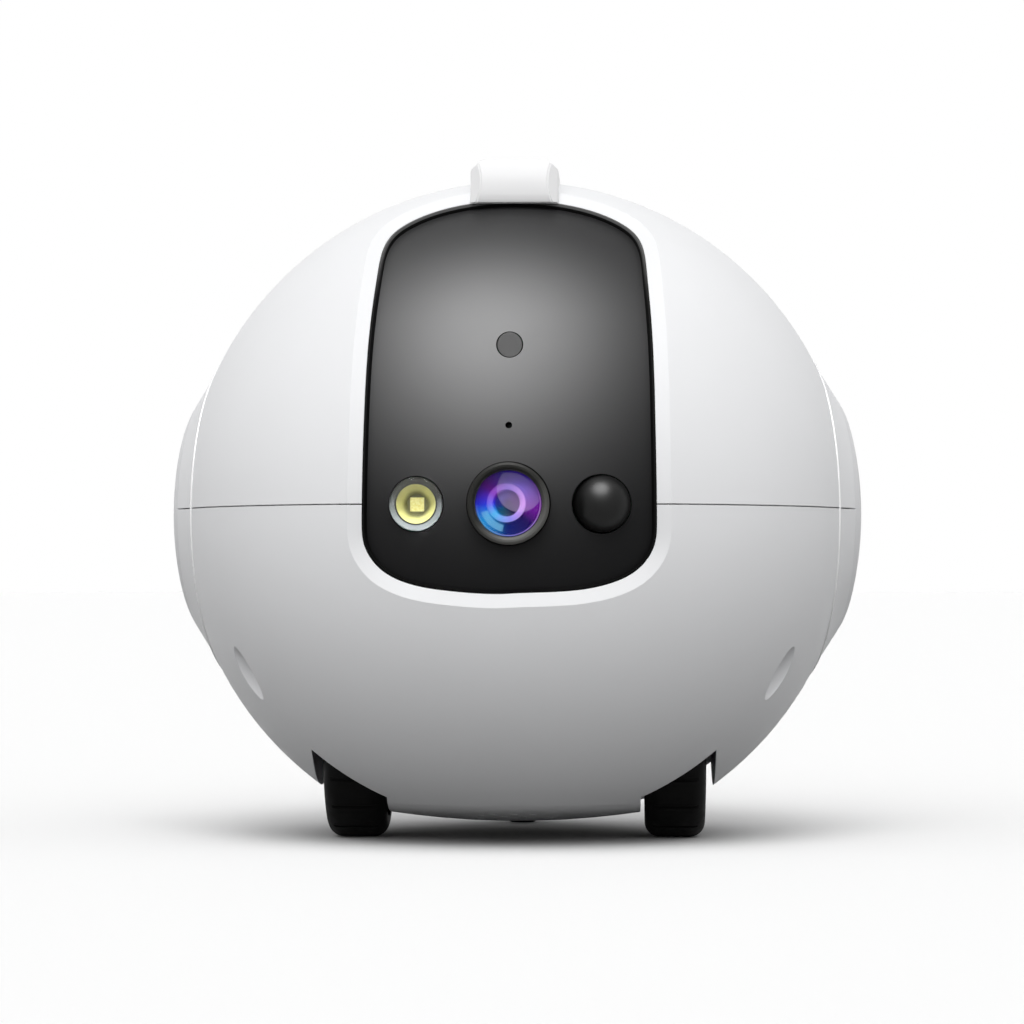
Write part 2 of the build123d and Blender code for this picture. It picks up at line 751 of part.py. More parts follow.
for name, side in SIDES.items():
    dome_r = crown_r - cap_wall
    spigot_out = cap_hole_r - run_gap
    spigot_in = spigot_out - cap_spigot_t
    spigot_w = sqrt(dome_r**2 - spigot_in**2)
    with BuildPart() as side_cap:
        with BuildSketch(hub_plane(side)):
            with BuildLine():
                Polyline((cap_rim_r, cap_seat_w), (cap_rim_r, collar_w(cap_rim_r)), (hub_crown_r, crown_w))
                ThreePointArc((hub_crown_r, crown_w),
                              (hub_crown_r / 2, sqrt(crown_r**2 - (hub_crown_r / 2)**2)), (0, crown_r))
                Line((0, crown_r), (0, dome_r))
                ThreePointArc((0, dome_r), (spigot_in / 2, sqrt(dome_r**2 - (spigot_in / 2)**2)),
                              (spigot_in, spigot_w))
                Polyline((spigot_in, spigot_w), (spigot_in, cap_seat_w - cap_spigot_h),
                         (spigot_out, cap_seat_w - cap_spigot_h), (spigot_out, cap_seat_w),
                         (cap_rim_r, cap_seat_w))
            make_face()
            corner = vertices().filter_by(lambda v: abs(v.X - hub_crown_r) < 0.01 and v.Y > cap_seat_w)
            fillet(corner, hub_round)
        revolve(axis=Axis(centre, hub_axis(side)))
    finish(side_cap, f"side_cap_{name}")

# ---- Front panel and what looks out of it ---------------------------------------------------------
with BuildPart() as panel_bosses:
    for x, z in sensor_posts:
        add(front_rod(x, z, -ball_r, sensor_board_y, sensor_post_r))
    add(ball(panel_r - panel_t / 2), mode=Mode.INTERSECT)

with BuildPart() as front_panel:
    add(ball(panel_r))
    add(ball(panel_r - panel_t), mode=Mode.SUBTRACT)
    add(panel_cone(panel_lap), mode=Mode.INTERSECT)
    add(panel_bosses.part)
    for x, z in sensor_posts:
        add(front_rod(x, z, sensor_board_y - small_screw_bite, sensor_board_y, small_screw_r),
            mode=Mode.SUBTRACT)
    for x, z, radius in ((-sensor_pitch, sensor_row_z, lamp_r), (0, sensor_row_z, lens_ring_r),
                         (sensor_pitch, sensor_row_z, pir_r), (0, pipe_z, pipe_r)):
        add(front_rod(x, z, -ball_r, sensor_board_y, radius + trim_gap), mode=Mode.SUBTRACT)
    add(front_rod(0, mic_z, -ball_r, sensor_board_y, mic_hole_r), mode=Mode.SUBTRACT)
finish(front_panel, "front_panel")

# The dark gasket: a flange clamped behind the shells' edge and a lip that lines the recess.
with BuildPart() as gasket_lining:
    add(ball(ball_r - bevel_deep - gasket_reveal))
    add(panel_cone(0), mode=Mode.INTERSECT)
with BuildPart() as panel_gasket:
    add(ball(inner_r))
    add(panel_cone(panel_lap), mode=Mode.INTERSECT)
    add(gasket_lining.part)
    add(ball(panel_r), mode=Mode.SUBTRACT)
    add(panel_cone(-gasket_lip), mode=Mode.SUBTRACT)
finish(panel_gasket, "panel_gasket")

lens_front = -ball_r
lens_back = sensor_board_y - holder_t - barrel_len
lens_axis = Axis((0, 0, sensor_row_z), (0, 1, 0))
glass_edge = lens_front + lens_recess
glass_back = glass_edge + lens_glass_t
iris_front = lens_back - element_t
with BuildPart() as lens_ring:
    add(front_rod(0, sensor_row_z, lens_front, lens_back, lens_ring_r, lens_glass_r))
    rim = lens_ring.edges().group_by(Axis.Y)[0]
    chamfer(rim, lens_ring_chamfer)
finish(lens_ring, "lens_ring")

with BuildPart() as lens_glass:
    with BuildSketch(side_plane()):
        with BuildLine():
            crown = (glass_edge - lens_crown, sensor_row_z)
            top = sensor_row_z + lens_glass_r
            TangentArc(crown, (glass_edge, top), tangent=(0, 1))
            Polyline((glass_edge, top), (glass_back, top), (glass_back, sensor_row_z), crown)
        make_face()
    revolve(axis=lens_axis)
finish(lens_glass, "lens_glass")

with BuildPart() as lens_cone:
    with BuildSketch(side_plane()):
        with BuildLine():
            Polyline((glass_back, sensor_row_z + lens_glass_r), (lens_back, sensor_row_z + lens_glass_r),
                     (lens_back, sensor_row_z + iris_hole_r), (iris_front, sensor_row_z + iris_hole_r),
                     (iris_front, sensor_row_z + iris_r), (iris_front - iris_step, sensor_row_z + iris_r),
                     close=True)
        make_face()
    revolve(axis=lens_axis)
finish(lens_cone, "lens_cone")

# Ribbed barrel with its front element and the square foot on the board.
with BuildPart() as camera_module:
    half = barrel_r + holder_margin
    add(block(-half, half, sensor_board_y - holder_t, sensor_board_y, sensor_row_z - half, sensor_row_z + half))
    fillet(camera_module.edges().filter_by(Axis.Y), holder_corner)
    add(front_rod(0, sensor_row_z, lens_back, sensor_board_y - holder_t, barrel_r))
    rib_pitch = barrel_len / (barrel_ribs + 1)
    for k in range(1, barrel_ribs + 1):
        y = lens_back + rib_pitch * k - rib_pitch / 4
        add(front_rod(0, sensor_row_z, y, y + rib_pitch / 2, barrel_r + rib_deep, barrel_r - rib_deep), mode=Mode.SUBTRACT)
    add(front_rod(0, sensor_row_z, lens_back - element_t, lens_back, iris_hole_r))
    fillet(camera_module.edges().group_by(Axis.Y)[0], element_t / 2)
finish(camera_module, "camera_module")

lamp_back = lamp_front + lamp_lens_t + lamp_bowl_deep
with BuildPart() as led_lens:
    add(front_rod(-sensor_pitch, sensor_row_z, lamp_front, lamp_front + lamp_lens_t, lamp_r))
    fillet(led_lens.edges().group_by(Axis.Y)[0], lamp_edge)
finish(led_lens, "led_lens")

with BuildPart() as led_reflector:
    add(front_rod(-sensor_pitch, sensor_row_z, lamp_front + lamp_lens_t, sensor_board_y, lamp_r))
    with BuildSketch(front_plane(lamp_front + lamp_lens_t)):
        with Locations((-sensor_pitch, sensor_row_z)):
            Circle(lamp_bowl_r)
    with BuildSketch(front_plane(lamp_back)):
        with Locations((-sensor_pitch, sensor_row_z)):
            Circle(lamp_chip_w / 2 * sqrt(2))
    loft(mode=Mode.SUBTRACT)
finish(led_reflector, "led_reflector")

with BuildPart() as led_chip:
    half = lamp_chip_w / 2
    add(block(-sensor_pitch - half, -sensor_pitch + half, lamp_back - lamp_chip_t, lamp_back,
              sensor_row_z - half, sensor_row_z + half))
finish(led_chip, "led_chip")

pir_rim = pir_front + pir_r
with BuildPart() as pir_dome:
    with BuildSketch(Plane.XY.offset(sensor_row_z)):
        with BuildLine():
            x = sensor_pitch
            inside = pir_r - pir_wall
            CenterArc((x, pir_rim), pir_r, 270, 90)
            Polyline((x + pir_r, pir_rim), (x + pir_r, pir_rim + pir_skirt), (x + inside, pir_rim + pir_skirt),
                     (x + inside, pir_rim))
            CenterArc((x, pir_rim), inside, 270, 90)
            Line((x, pir_rim - pir_r), (x, pir_rim - inside))
        make_face()
    revolve(axis=Axis((sensor_pitch, 0, sensor_row_z), (0, 1, 0)))
finish(pir_dome, "pir_dome")

with BuildPart() as pir_sensor:
    base_front = pir_rim + pir_skirt
    add(front_rod(sensor_pitch, sensor_row_z, base_front - pir_can_h, base_front, pir_can_r))
    fillet(pir_sensor.edges().group_by(Axis.Y)[0], pir_can_edge)
    add(front_rod(sensor_pitch, sensor_row_z, base_front, sensor_board_y, pir_r))
finish(pir_sensor, "pir_sensor")

with BuildPart() as light_pipe:
    add(front_rod(0, pipe_z, pipe_front, sensor_board_y, pipe_r))
finish(light_pipe, "light_pipe")

with BuildPart() as mic_boot:
    add(front_rod(0, mic_z, mic_front, sensor_board_y, mic_boot_r, mic_hole_r))
finish(mic_boot, "mic_boot")

with BuildPart() as sensor_board:
    with BuildSketch(front_plane(sensor_board_y + board_t)):
        with Locations((0, centre_z)):
            Circle(sensor_board_r)
        with Locations((0, sensor_board_low)):
            Rectangle(2 * sensor_board_half_w, far, align=(Align.CENTER, Align.MIN), mode=Mode.INTERSECT)
        with Locations(sensor_posts):
            Circle(small_screw_r, mode=Mode.SUBTRACT)
    extrude(amount=board_t)
finish(sensor_board, "sensor_board")

# ---- Drive wheels and their gear motors -----------------------------------------------------------
bead_r = wheel_r - tyre_t
rim_in_r = bead_r - rim_t


def span(side, near, away):
    """Range in X between two distances from the middle plane, on one side."""
    return sorted((side * near, side * away))


for name, side in SIDES.items():
    x0, x1 = span(side, tyre_in, tyre_out)
    with BuildPart() as tyre:
        add(side_rod(axle_y, wheel_r, x0, x1, wheel_r, wheel_r - tyre_t))
        shoulders = tyre.edges().filter_by(GeomType.CIRCLE).filter_by(lambda e: abs(e.radius - wheel_r) < 0.01)
        fillet(shoulders, tyre_round)
        with BuildSketch(side_plane(x0)):
            with Locations((axle_y, wheel_r)):
                with PolarLocations(wheel_r, tread_count, start_angle=90 + 180 / tread_count):
                    Rectangle(2 * tread_deep, tread_w)
        extrude(amount=tyre_w, mode=Mode.SUBTRACT)
    finish(tyre, f"tyre_{name}")

    x0, x1 = span(side, tyre_in + rim_inset, tyre_out - rim_inset)
    web0, web1 = span(side, tyre_in + rim_inset + web_back, tyre_out - web_inset)
    hub0, hub1 = span(side, tyre_in + rim_inset, tyre_out - hub_inset)
    dimple0, dimple1 = span(side, tyre_out - web_inset - dimple_deep, tyre_out - web_inset)
    with BuildPart() as wheel_rim:
        add(side_rod(axle_y, wheel_r, x0, x1, bead_r, rim_in_r))
        add(side_rod(axle_y, wheel_r, web0, web1, rim_in_r))
        with BuildSketch(side_plane(dimple0)):
            with Locations((axle_y, wheel_r)):
                with PolarLocations((rim_hub_r + rim_in_r) / 2, dimple_count):
                    Circle((rim_in_r - rim_hub_r) / 2 - dimple_margin)
        extrude(amount=dimple1 - dimple0, mode=Mode.SUBTRACT)
        add(side_rod(axle_y, wheel_r, hub0, hub1, rim_hub_r))
        add(side_rod(axle_y, wheel_r, x0, x1, axle_r), mode=Mode.SUBTRACT)
    finish(wheel_rim, f"wheel_rim_{name}")

    x0, x1 = span(side, box_face - axle_in_box, tyre_out - hub_inset)
    with BuildPart() as wheel_axle:
        add(side_rod(axle_y, wheel_r, x0, x1, axle_r))
    finish(wheel_axle, f"wheel_axle_{name}")

    half = motor_w / 2
    box_back = box_face - gearbox_len
    x0, x1 = span(side, box_back, box_face)
    can0, can1 = span(side, box_back - motor_can_len, box_back)
    bore0, bore1 = span(side, box_face - axle_in_box - trim_gap, box_face)
    with BuildPart() as drive_motor:
        add(block(x0, x1, axle_y - half, axle_y + half, wheel_r - half, wheel_r + half))
        fillet(drive_motor.edges().filter_by(Axis.X), motor_round)
        add(side_rod(axle_y, wheel_r, can0, can1, half))
        add(side_rod(axle_y, wheel_r, bore0, bore1, axle_r + run_gap), mode=Mode.SUBTRACT)
    finish(drive_motor, f"drive_motor_{name}")

# ---- Rear caster ----------------------------------------------------------------------------------
fork_in = caster_w / 2 + fork_gap
fork_out = fork_in + fork_t
crown_z = pocket_top - fork_drop - fork_crown_t
caster_hub_y = caster_y + caster_trail
with BuildPart() as caster_fork:
    add(rod(0, caster_y, crown_z, crown_z + fork_crown_t, fork_crown_r))
    add(rod(0, caster_y, crown_z, pocket_top + kingpin_len, kingpin_r))
    for side in SIDES.values():
        x0, x1 = span(side, fork_in, fork_out)
        with BuildSketch(side_plane(x0)):
            with Locations((caster_hub_y, caster_r)):
                Circle(fork_eye_r)
            with BuildLine():
                Polyline((caster_hub_y - fork_eye_r, caster_r), (caster_hub_y + fork_eye_r, caster_r),
                         (caster_y + fork_root, crown_z + fork_crown_t / 2),
                         (caster_y - fork_root, crown_z + fork_crown_t / 2), close=True)
            make_face()
        extrude(amount=x1 - x0)
    add(side_rod(caster_hub_y, caster_r, -fork_out, fork_out, caster_axle_r), mode=Mode.SUBTRACT)
finish(caster_fork, "caster_fork")

with BuildPart() as caster_axle:
    add(side_rod(caster_hub_y, caster_r, -fork_out, fork_out, caster_axle_r))
finish(caster_axle, "caster_axle")

with BuildPart() as caster_wheel:
    add(side_rod(caster_hub_y, caster_r, -caster_w / 2, caster_w / 2, caster_r))
    fillet(caster_wheel.edges().filter_by(GeomType.CIRCLE), caster_round)
    add(side_rod(caster_hub_y, caster_r, -caster_w, caster_w, caster_axle_r + run_gap), mode=Mode.SUBTRACT)
finish(caster_wheel, "caster_wheel")

# ---- Inner frame, battery and boards --------------------------------------------------------------
cell_z = frame_top + cell_r
cell_x = cell_r + cell_gap / 2
tray_half_w = cell_x + cell_r + cell_gap
with BuildPart() as chassis_frame:
    add(block(-frame_half_w, frame_half_w, frame_front, frame_back, frame_z, frame_top))
    fillet(chassis_frame.edges().filter_by(Axis.Z), frame_corner)
    for y in (axle_y - motor_w / 2 - cradle_t, axle_y + motor_w / 2):
        add(block(-frame_half_w, frame_half_w, y, y + cradle_t, frame_z - motor_w, frame_z))
    for side in SIDES.values():
        rail0, rail1 = span(side, tray_half_w, tray_half_w + tray_wall)
        add(block(rail0, rail1, rail_front, rail_back, frame_top, frame_top + rail_h))
        for y in (leg_front_y, leg_back_y):
            add(rod(side * leg_x, y, leg_z, frame_z, leg_r))
            add(rod(side * leg_x, y, leg_z, frame_top, screw_r), mode=Mode.SUBTRACT)
        for y in (board_post_front, board_post_back):
            add(rod(side * board_post_x, y, frame_z, board_z, board_post_r))
            add(rod(side * board_post_x, y, board_z - small_screw_bite, board_z, small_screw_r), mode=Mode.SUBTRACT)
    for y in (cell_front - contact_room - tray_wall, cell_front + cell_len + contact_room):
        add(block(-tray_half_w, tray_half_w, y, y + tray_wall, frame_top, cell_z + cell_r / 2))
finish(chassis_frame, "chassis_frame")

with BuildPart() as motor_clamp:
    low = wheel_r - motor_w / 2 - clamp_t
    reach = motor_w / 2 + cradle_t
    add(block(-frame_half_w, frame_half_w, axle_y - reach, axle_y + reach, low, low + clamp_t))
    fillet(motor_clamp.edges().filter_by(Axis.Z), clamp_corner)
finish(motor_clamp, "motor_clamp")

with BuildPart() as battery_cells:
    for side in SIDES.values():
        add(front_rod(side * cell_x, cell_z, cell_front, cell_front + cell_len, cell_r))
    fillet(battery_cells.edges().filter_by(GeomType.CIRCLE), cell_edge)
finish(battery_cells, "battery_cells")

with BuildPart() as battery_contacts:
    half = contact_half_w
    for side in SIDES.values():
        front_wall = cell_front - contact_room
        back_wall = cell_front + cell_len + contact_room
        x = side * cell_x
        add(block(x - half, x + half, front_wall, front_wall + contact_t, cell_z - half, cell_z + half / 2))
        add(front_rod(x, cell_z, front_wall + contact_t, cell_front, half / 2))
        add(block(x - half, x + half, back_wall - contact_t, back_wall, cell_z - half, cell_z + half / 2))
        add(front_rod(x, cell_z, cell_front + cell_len, back_wall - contact_t, half / 2))
finish(battery_contacts, "battery_contacts")

board_posts = [(side * board_post_x, y) for side in SIDES.values() for y in (board_post_front, board_post_back)]
with BuildPart() as main_board:
    add(block(-board_half_w, board_half_w, board_front, board_back, board_z, board_z + board_t))
    fillet(main_board.edges().filter_by(Axis.Z), board_corner)
    for x, y in board_posts:
        add(rod(x, y, board_z, board_z + board_t, small_screw_r), mode=Mode.SUBTRACT)
finish(main_board, "main_board")

# Components on the main board: middle in X and Y, then width, depth and height.
chips = [(0, -6, 14, 14, 1.6), (-15, -17, 9, 7, 1.2), (13, -17, 8, 8, 1.2), (-13, 4, 10, 5, 1.4),
         (13, 6, 7, 9, 2.6), (0, -30, 16, 12, 2.4), (-20, -33, 6, 10, 5.0), (20, -34, 6, 8, 4.0)]
with BuildPart() as board_chips:
    top = board_z + board_t
    for x, y, w, d, h in chips:
        add(block(x - w / 2, x + w / 2, y - d / 2, y + d / 2, top, top + h))
finish(board_chips, "board_chips")

with BuildPart() as board_screws:
    for x, y in board_posts:
        add(rod(x, y, board_z - small_screw_bite, board_z + board_t, small_screw_r))
        add(rod(x, y, board_z + board_t, board_z + board_t + small_head_t, small_head_r))
    board_face = sensor_board_y + board_t
    for x, z in sensor_posts:
        add(front_rod(x, z, sensor_board_y - small_screw_bite, board_face, small_screw_r))
        add(front_rod(x, z, board_face, board_face + small_head_t, small_head_r))
finish(board_screws, "board_screws")

with BuildPart() as frame_screws:
    for side in SIDES.values():
        for y in (leg_front_y, leg_back_y):
            add(rod(side * leg_x, y, leg_z - leg_screw_bite, frame_top, screw_r))
            add(rod(side * leg_x, y, frame_top, frame_top + screw_head_t, screw_head_r))
finish(frame_screws, "frame_screws")

with BuildPart() as shell_screws:
    for side in SIDES.values():
        x, y = side * shell_post_x, shell_post_y
        add(rod(x, y, shell_screw_seat, shell_screw_seat + shell_screw_len, screw_r))
        add(rod(x, y, shell_screw_seat - screw_head_t, shell_screw_seat, screw_head_r))
finish(shell_screws, "shell_screws")

with BuildPart() as speaker:
    add(rod(0, speaker_y, speaker_z, speaker_z + speaker_basket_t, speaker_r))
    add(rod(0, speaker_y, speaker_z, speaker_z + speaker_t, speaker_magnet_r))
    fillet(speaker.edges().group_by(Axis.Z)[-1], magnet_edge)
finish(speaker, "speaker")

with BuildPart() as rear_board:
    low, high = min(rear_post_heights) - rear_post_r, max(rear_post_heights) + rear_post_r
    half = rear_post_x + rear_post_r
    add(block(-half, half, rear_board_y, rear_board_y + rear_board_t, low, high))
finish(rear_board, "rear_board")

rear_face = rear_board_y + rear_board_t
with BuildPart() as usb_port:
    with BuildSketch(front_plane(usb_back)):
        with Locations((0, usb_z)):
            SlotOverall(usb_w, usb_h)
    extrude(amount=usb_back - rear_face)
    with BuildSketch(front_plane(usb_back)):
        with Locations((0, usb_z)):
            SlotOverall(usb_w - 2 * usb_wall, usb_h - 2 * usb_wall)
            Rectangle(usb_tongue_w, usb_tongue_t, mode=Mode.SUBTRACT)
    extrude(amount=usb_deep, mode=Mode.SUBTRACT)
finish(usb_port, "usb_port")

stem_front = rear_face + switch_t + button_travel + button_play
flange_front = stem_front + button_stem
with BuildPart() as power_button:
    add(front_rod(0, button_z, flange_front, ball_r, button_r))
    fillet(power_button.edges().group_by(Axis.Y)[-1], button_edge)
    add(front_rod(0, button_z, flange_front, flange_front + button_flange_t, button_flange_r))
    add(front_rod(0, button_z, stem_front, flange_front, button_stem_r))
finish(power_button, "power_button")

with BuildPart() as power_switch:
    half = switch_w / 2
    add(block(-half, half, rear_face, rear_face + switch_t, button_z - half, button_z + half))
finish(power_switch, "power_switch")

# ---- Treat store and dispenser --------------------------------------------------------------------
with BuildPart() as lid_shell:
    add(ball(ball_r))
    add(ball(lid_in_r), mode=Mode.SUBTRACT)
    add(rod(0, lid_y, centre_z, far, lid_hole_r - lid_gap), mode=Mode.INTERSECT)
with BuildPart() as lid_skirt:
    add(ball(lid_in_r + lid_t / 2))
    add(ball(ball_r - skirt_reach), mode=Mode.SUBTRACT)
    add(rod(0, lid_y, centre_z, far, skirt_r, skirt_r - skirt_t), mode=Mode.INTERSECT)
with BuildPart() as lid_whole:
    add(lid_shell.part)
    add(lid_skirt.part)
    with BuildSketch(side_plane(-hinge_half_w)):
        with Locations((hinge_y, hinge_z)):
            Circle(hinge_r)
        with BuildLine():
            Polyline(*[(hinge_y + dy, hinge_z + dz) for dy, dz in lid_arm], close=True)
        make_face()
    extrude(amount=2 * hinge_half_w)
    add(side_rod(hinge_y, hinge_z, -far, far, hinge_pin_r + run_gap), mode=Mode.SUBTRACT)
finish(lid_whole, "lid_shell")

with BuildPart() as lid_seal:
    add(ball(ball_r - skirt_reach + seal_lift + seal_h))
    add(ball(ball_r - skirt_reach + seal_lift), mode=Mode.SUBTRACT)
    add(rod(0, lid_y, centre_z, far, skirt_r + seal_t, skirt_r), mode=Mode.INTERSECT)
finish(lid_seal, "lid_seal")

with BuildPart() as lid_hinge_pin:
    reach = hinge_half_w + lid_gap + hinge_ear_t
    add(side_rod(hinge_y, hinge_z, -reach, reach, hinge_pin_r))
finish(lid_hinge_pin, "lid_hinge_pin")

with BuildPart() as tab_room:
    add(ball(ball_r + tab_clear))
    add(rod(0, lid_y, centre_z, far, lid_hole_r - lid_gap), mode=Mode.SUBTRACT)

# The tab is drawn from the side, from above and from the front, and rests on the lid.
with BuildPart() as lid_tab:
    half = tab_w / 2
    tab_front = min(y for y, z in tab_side_view)
    tab_back = max(y for y, z in tab_side_view)
    tab_low = min(z for y, z in tab_side_view)
    tab_high = max(z for y, z in tab_side_view)
    with BuildSketch(side_plane(-half)):
        with BuildLine():
            Polyline(*tab_side_view, close=True)
        make_face()
    extrude(amount=tab_w)
    with BuildSketch(Plane.XY.offset(tab_low)):
        with BuildLine():
            Polyline((-half, tab_back), (-half, tab_front + tab_side), (-half + tab_side, tab_front),
                     (half - tab_side, tab_front), (half, tab_front + tab_side), (half, tab_back), close=True)
        make_face()
    extrude(amount=tab_high - tab_low, mode=Mode.INTERSECT)
    with BuildSketch(front_plane(tab_back)):
        with BuildLine():
            Polyline((-half, tab_low), (-half, tab_high - tab_corner), (-half + tab_corner, tab_high),
                     (half - tab_corner, tab_high), (half, tab_high - tab_corner), (half, tab_low), close=True)
        make_face()
    extrude(amount=tab_back - tab_front, mode=Mode.INTERSECT)
    add(ball(ball_r), mode=Mode.SUBTRACT)
    add(tab_room.part, mode=Mode.SUBTRACT)
finish(lid_tab, "lid_tab")

with BuildPart() as treat_hopper:
    add(rod(0, lid_y, case_top, far, store_r + store_wall, store_r))
    add(ball(store_top_r), mode=Mode.INTERSECT)
    with BuildSketch(Plane.XY.offset(case_top)):
        with Locations((0, lid_y)):
            Circle(store_r)
            SlotArc(CenterArc((0, 0), store_slot_ring, store_slot_from, store_slot_sweep), store_slot_w,
                    mode=Mode.SUBTRACT)
    extrude(amount=store_floor)
finish(treat_hopper, "treat_hopper")

with BuildPart() as dispenser_case:
    with BuildSketch(Plane.XY.offset(case_z)):
        with Locations((0, lid_y)):
            Circle(case_r + case_wall)
        with Locations((0, pinion_y)):
            Circle(lobe_r + case_wall)
    extrude(amount=case_h)
    with BuildSketch(Plane.XY.offset(case_z + case_floor)):
        with Locations((0, lid_y)):
            Circle(case_r)
        with Locations((0, pinion_y)):
            Circle(lobe_r)
    extrude(amount=case_h - case_floor, mode=Mode.SUBTRACT)
    add(rod(0, drop_y, case_z, case_top, drop_r), mode=Mode.SUBTRACT)
    add(rod(0, lid_y, case_z, case_top, rotor_shaft_r + run_gap), mode=Mode.SUBTRACT)
    add(rod(0, pinion_y, case_z, case_top, shaft_hole_r), mode=Mode.SUBTRACT)
finish(dispenser_case, "dispenser_case")

gear_z = case_z + case_floor + rotor_lift
# Feed wheel with its moulded gear rim. A gap of the rim faces the pinion, and a tooth stands in it.
with BuildPart() as dispenser_rotor:
    with BuildSketch(Plane.XY.offset(gear_z)):
        with Locations((0, lid_y)):
            Polygon(*gear_outline(rotor_teeth, gear_module, gear_play), align=None)
    extrude(amount=gear_h)
    add(rod(0, lid_y, gear_z, gear_z + rotor_h, rotor_r))
    with BuildSketch(Plane.XY.offset(gear_z)):
        with Locations((0, lid_y)):
            with PolarLocations(treat_ring_r, pocket_count, start_angle=270):
                Circle(treat_pocket_r)
    extrude(amount=rotor_h, mode=Mode.SUBTRACT)
    add(rod(0, lid_y, case_z - rotor_shaft_reach, gear_z, rotor_shaft_r))
finish(dispenser_rotor, "dispenser_rotor")

with BuildPart() as dispenser_pinion:
    with BuildSketch(Plane.XY.offset(gear_z)):
        with Locations((0, pinion_y)):
            Polygon(*gear_outline(pinion_teeth, gear_module, gear_play), align=None)
            Circle(pinion_shaft_r, mode=Mode.SUBTRACT)
    extrude(amount=gear_h)
finish(dispenser_pinion, "dispenser_pinion")

with BuildPart() as dispenser_shaft:
    add(rod(0, pinion_y, case_z - pinion_shaft_reach, gear_z + gear_h, pinion_shaft_r))
finish(dispenser_shaft, "dispenser_shaft")

with BuildPart() as dispenser_motor:
    add(rod(0, pinion_y, case_z - feed_motor_h, case_z, feed_motor_r))
    fillet(dispenser_motor.edges().group_by(Axis.Z)[0], motor_edge)
    add(rod(0, pinion_y, case_z - motor_bore_deep, case_z, pinion_shaft_r + run_gap), mode=Mode.SUBTRACT)
finish(dispenser_motor, "dispenser_motor")

# ---- Thrower --------------------------------------------------------------------------------------
toss_half_out = toss_half_w + toss_wall
with BuildPart() as toss_housing:
    for half, grow in ((toss_half_out, toss_wall), (toss_half_w, 0)):
        with BuildSketch(side_plane(-half)) as housing_view:
            with Locations((toss_y, toss_z)):
                Circle(toss_case_r + grow)
            for outline in (chute, duct):
                with BuildSketch(side_plane(-half), mode=Mode.PRIVATE) as opening:
                    with BuildLine():
                        Polyline(*outline, close=True)
                    make_face()
                    if grow:
                        offset(amount=grow, kind=Kind.INTERSECTION)
                add(opening.sketch_local)
        extrude(amount=2 * half, mode=Mode.ADD if grow else Mode.SUBTRACT)
    add(block(-far, far, outlet_end, far, -far, far), mode=Mode.SUBTRACT)
    add(level_band(case_z, far), mode=Mode.SUBTRACT)
    add(side_rod(toss_y, toss_z, -far, far, toss_shaft_r + run_gap), mode=Mode.SUBTRACT)
finish(toss_housing, "toss_housing")

with BuildPart() as toss_wheel:
    half = toss_half_w - paddle_inset
    with BuildSketch(side_plane(-half)):
        with Locations((toss_y, toss_z)):
            Circle(toss_hub_r)
            with PolarLocations(toss_r / 2, paddle_count, start_angle=45):
                Rectangle(toss_r, paddle_t)
    extrude(amount=2 * half)
    add(side_rod(toss_y, toss_z, -half, half, toss_shaft_r), mode=Mode.SUBTRACT)
finish(toss_wheel, "toss_wheel")

with BuildPart() as toss_shaft:
    add(side_rod(toss_y, toss_z, -toss_half_out, toss_half_out + toss_shaft_in_motor, toss_shaft_r))
finish(toss_shaft, "toss_shaft")

with BuildPart() as toss_motor:
    add(side_rod(toss_y, toss_z, toss_half_out, toss_half_out + toss_motor_len, toss_motor_r))
    fillet(toss_motor.edges().group_by(Axis.X)[-1], motor_edge)
    bore_end = toss_half_out + toss_shaft_in_motor + trim_gap
    add(side_rod(toss_y, toss_z, toss_half_out, bore_end, toss_shaft_r + run_gap), mode=Mode.SUBTRACT)
finish(toss_motor, "toss_motor")

with BuildPart() as outlet_bezel:
    add(block(-bezel_half_w, bezel_half_w, outlet_end, far, outlet_low - bezel_wall, outlet_high + bezel_wall))
    add(block(-toss_half_w, toss_half_w, outlet_end, far, outlet_low, outlet_high), mode=Mode.SUBTRACT)
    add(ball(ball_r), mode=Mode.INTERSECT)
    add(side_rod(flap_pin_y, flap_pin_z, -bezel_half_w, bezel_half_w, flap_pin_r), mode=Mode.SUBTRACT)
finish(outlet_bezel, "outlet_bezel")

with BuildPart() as flap_pin:
    add(side_rod(flap_pin_y, flap_pin_z, -bezel_half_w, bezel_half_w, flap_pin_r))
finish(flap_pin, "flap_pin")

with BuildPart() as outlet_flap:
    half = toss_half_w - flap_gap
    add(block(-half, half, flap_pin_y - flap_t / 2, flap_pin_y + flap_t / 2, outlet_low + flap_gap, flap_pin_z))
    add(side_rod(flap_pin_y, flap_pin_z, -half, half, flap_barrel_r))
    add(side_rod(flap_pin_y, flap_pin_z, -half, half, flap_pin_r + run_gap), mode=Mode.SUBTRACT)
finish(outlet_flap, "outlet_flap")
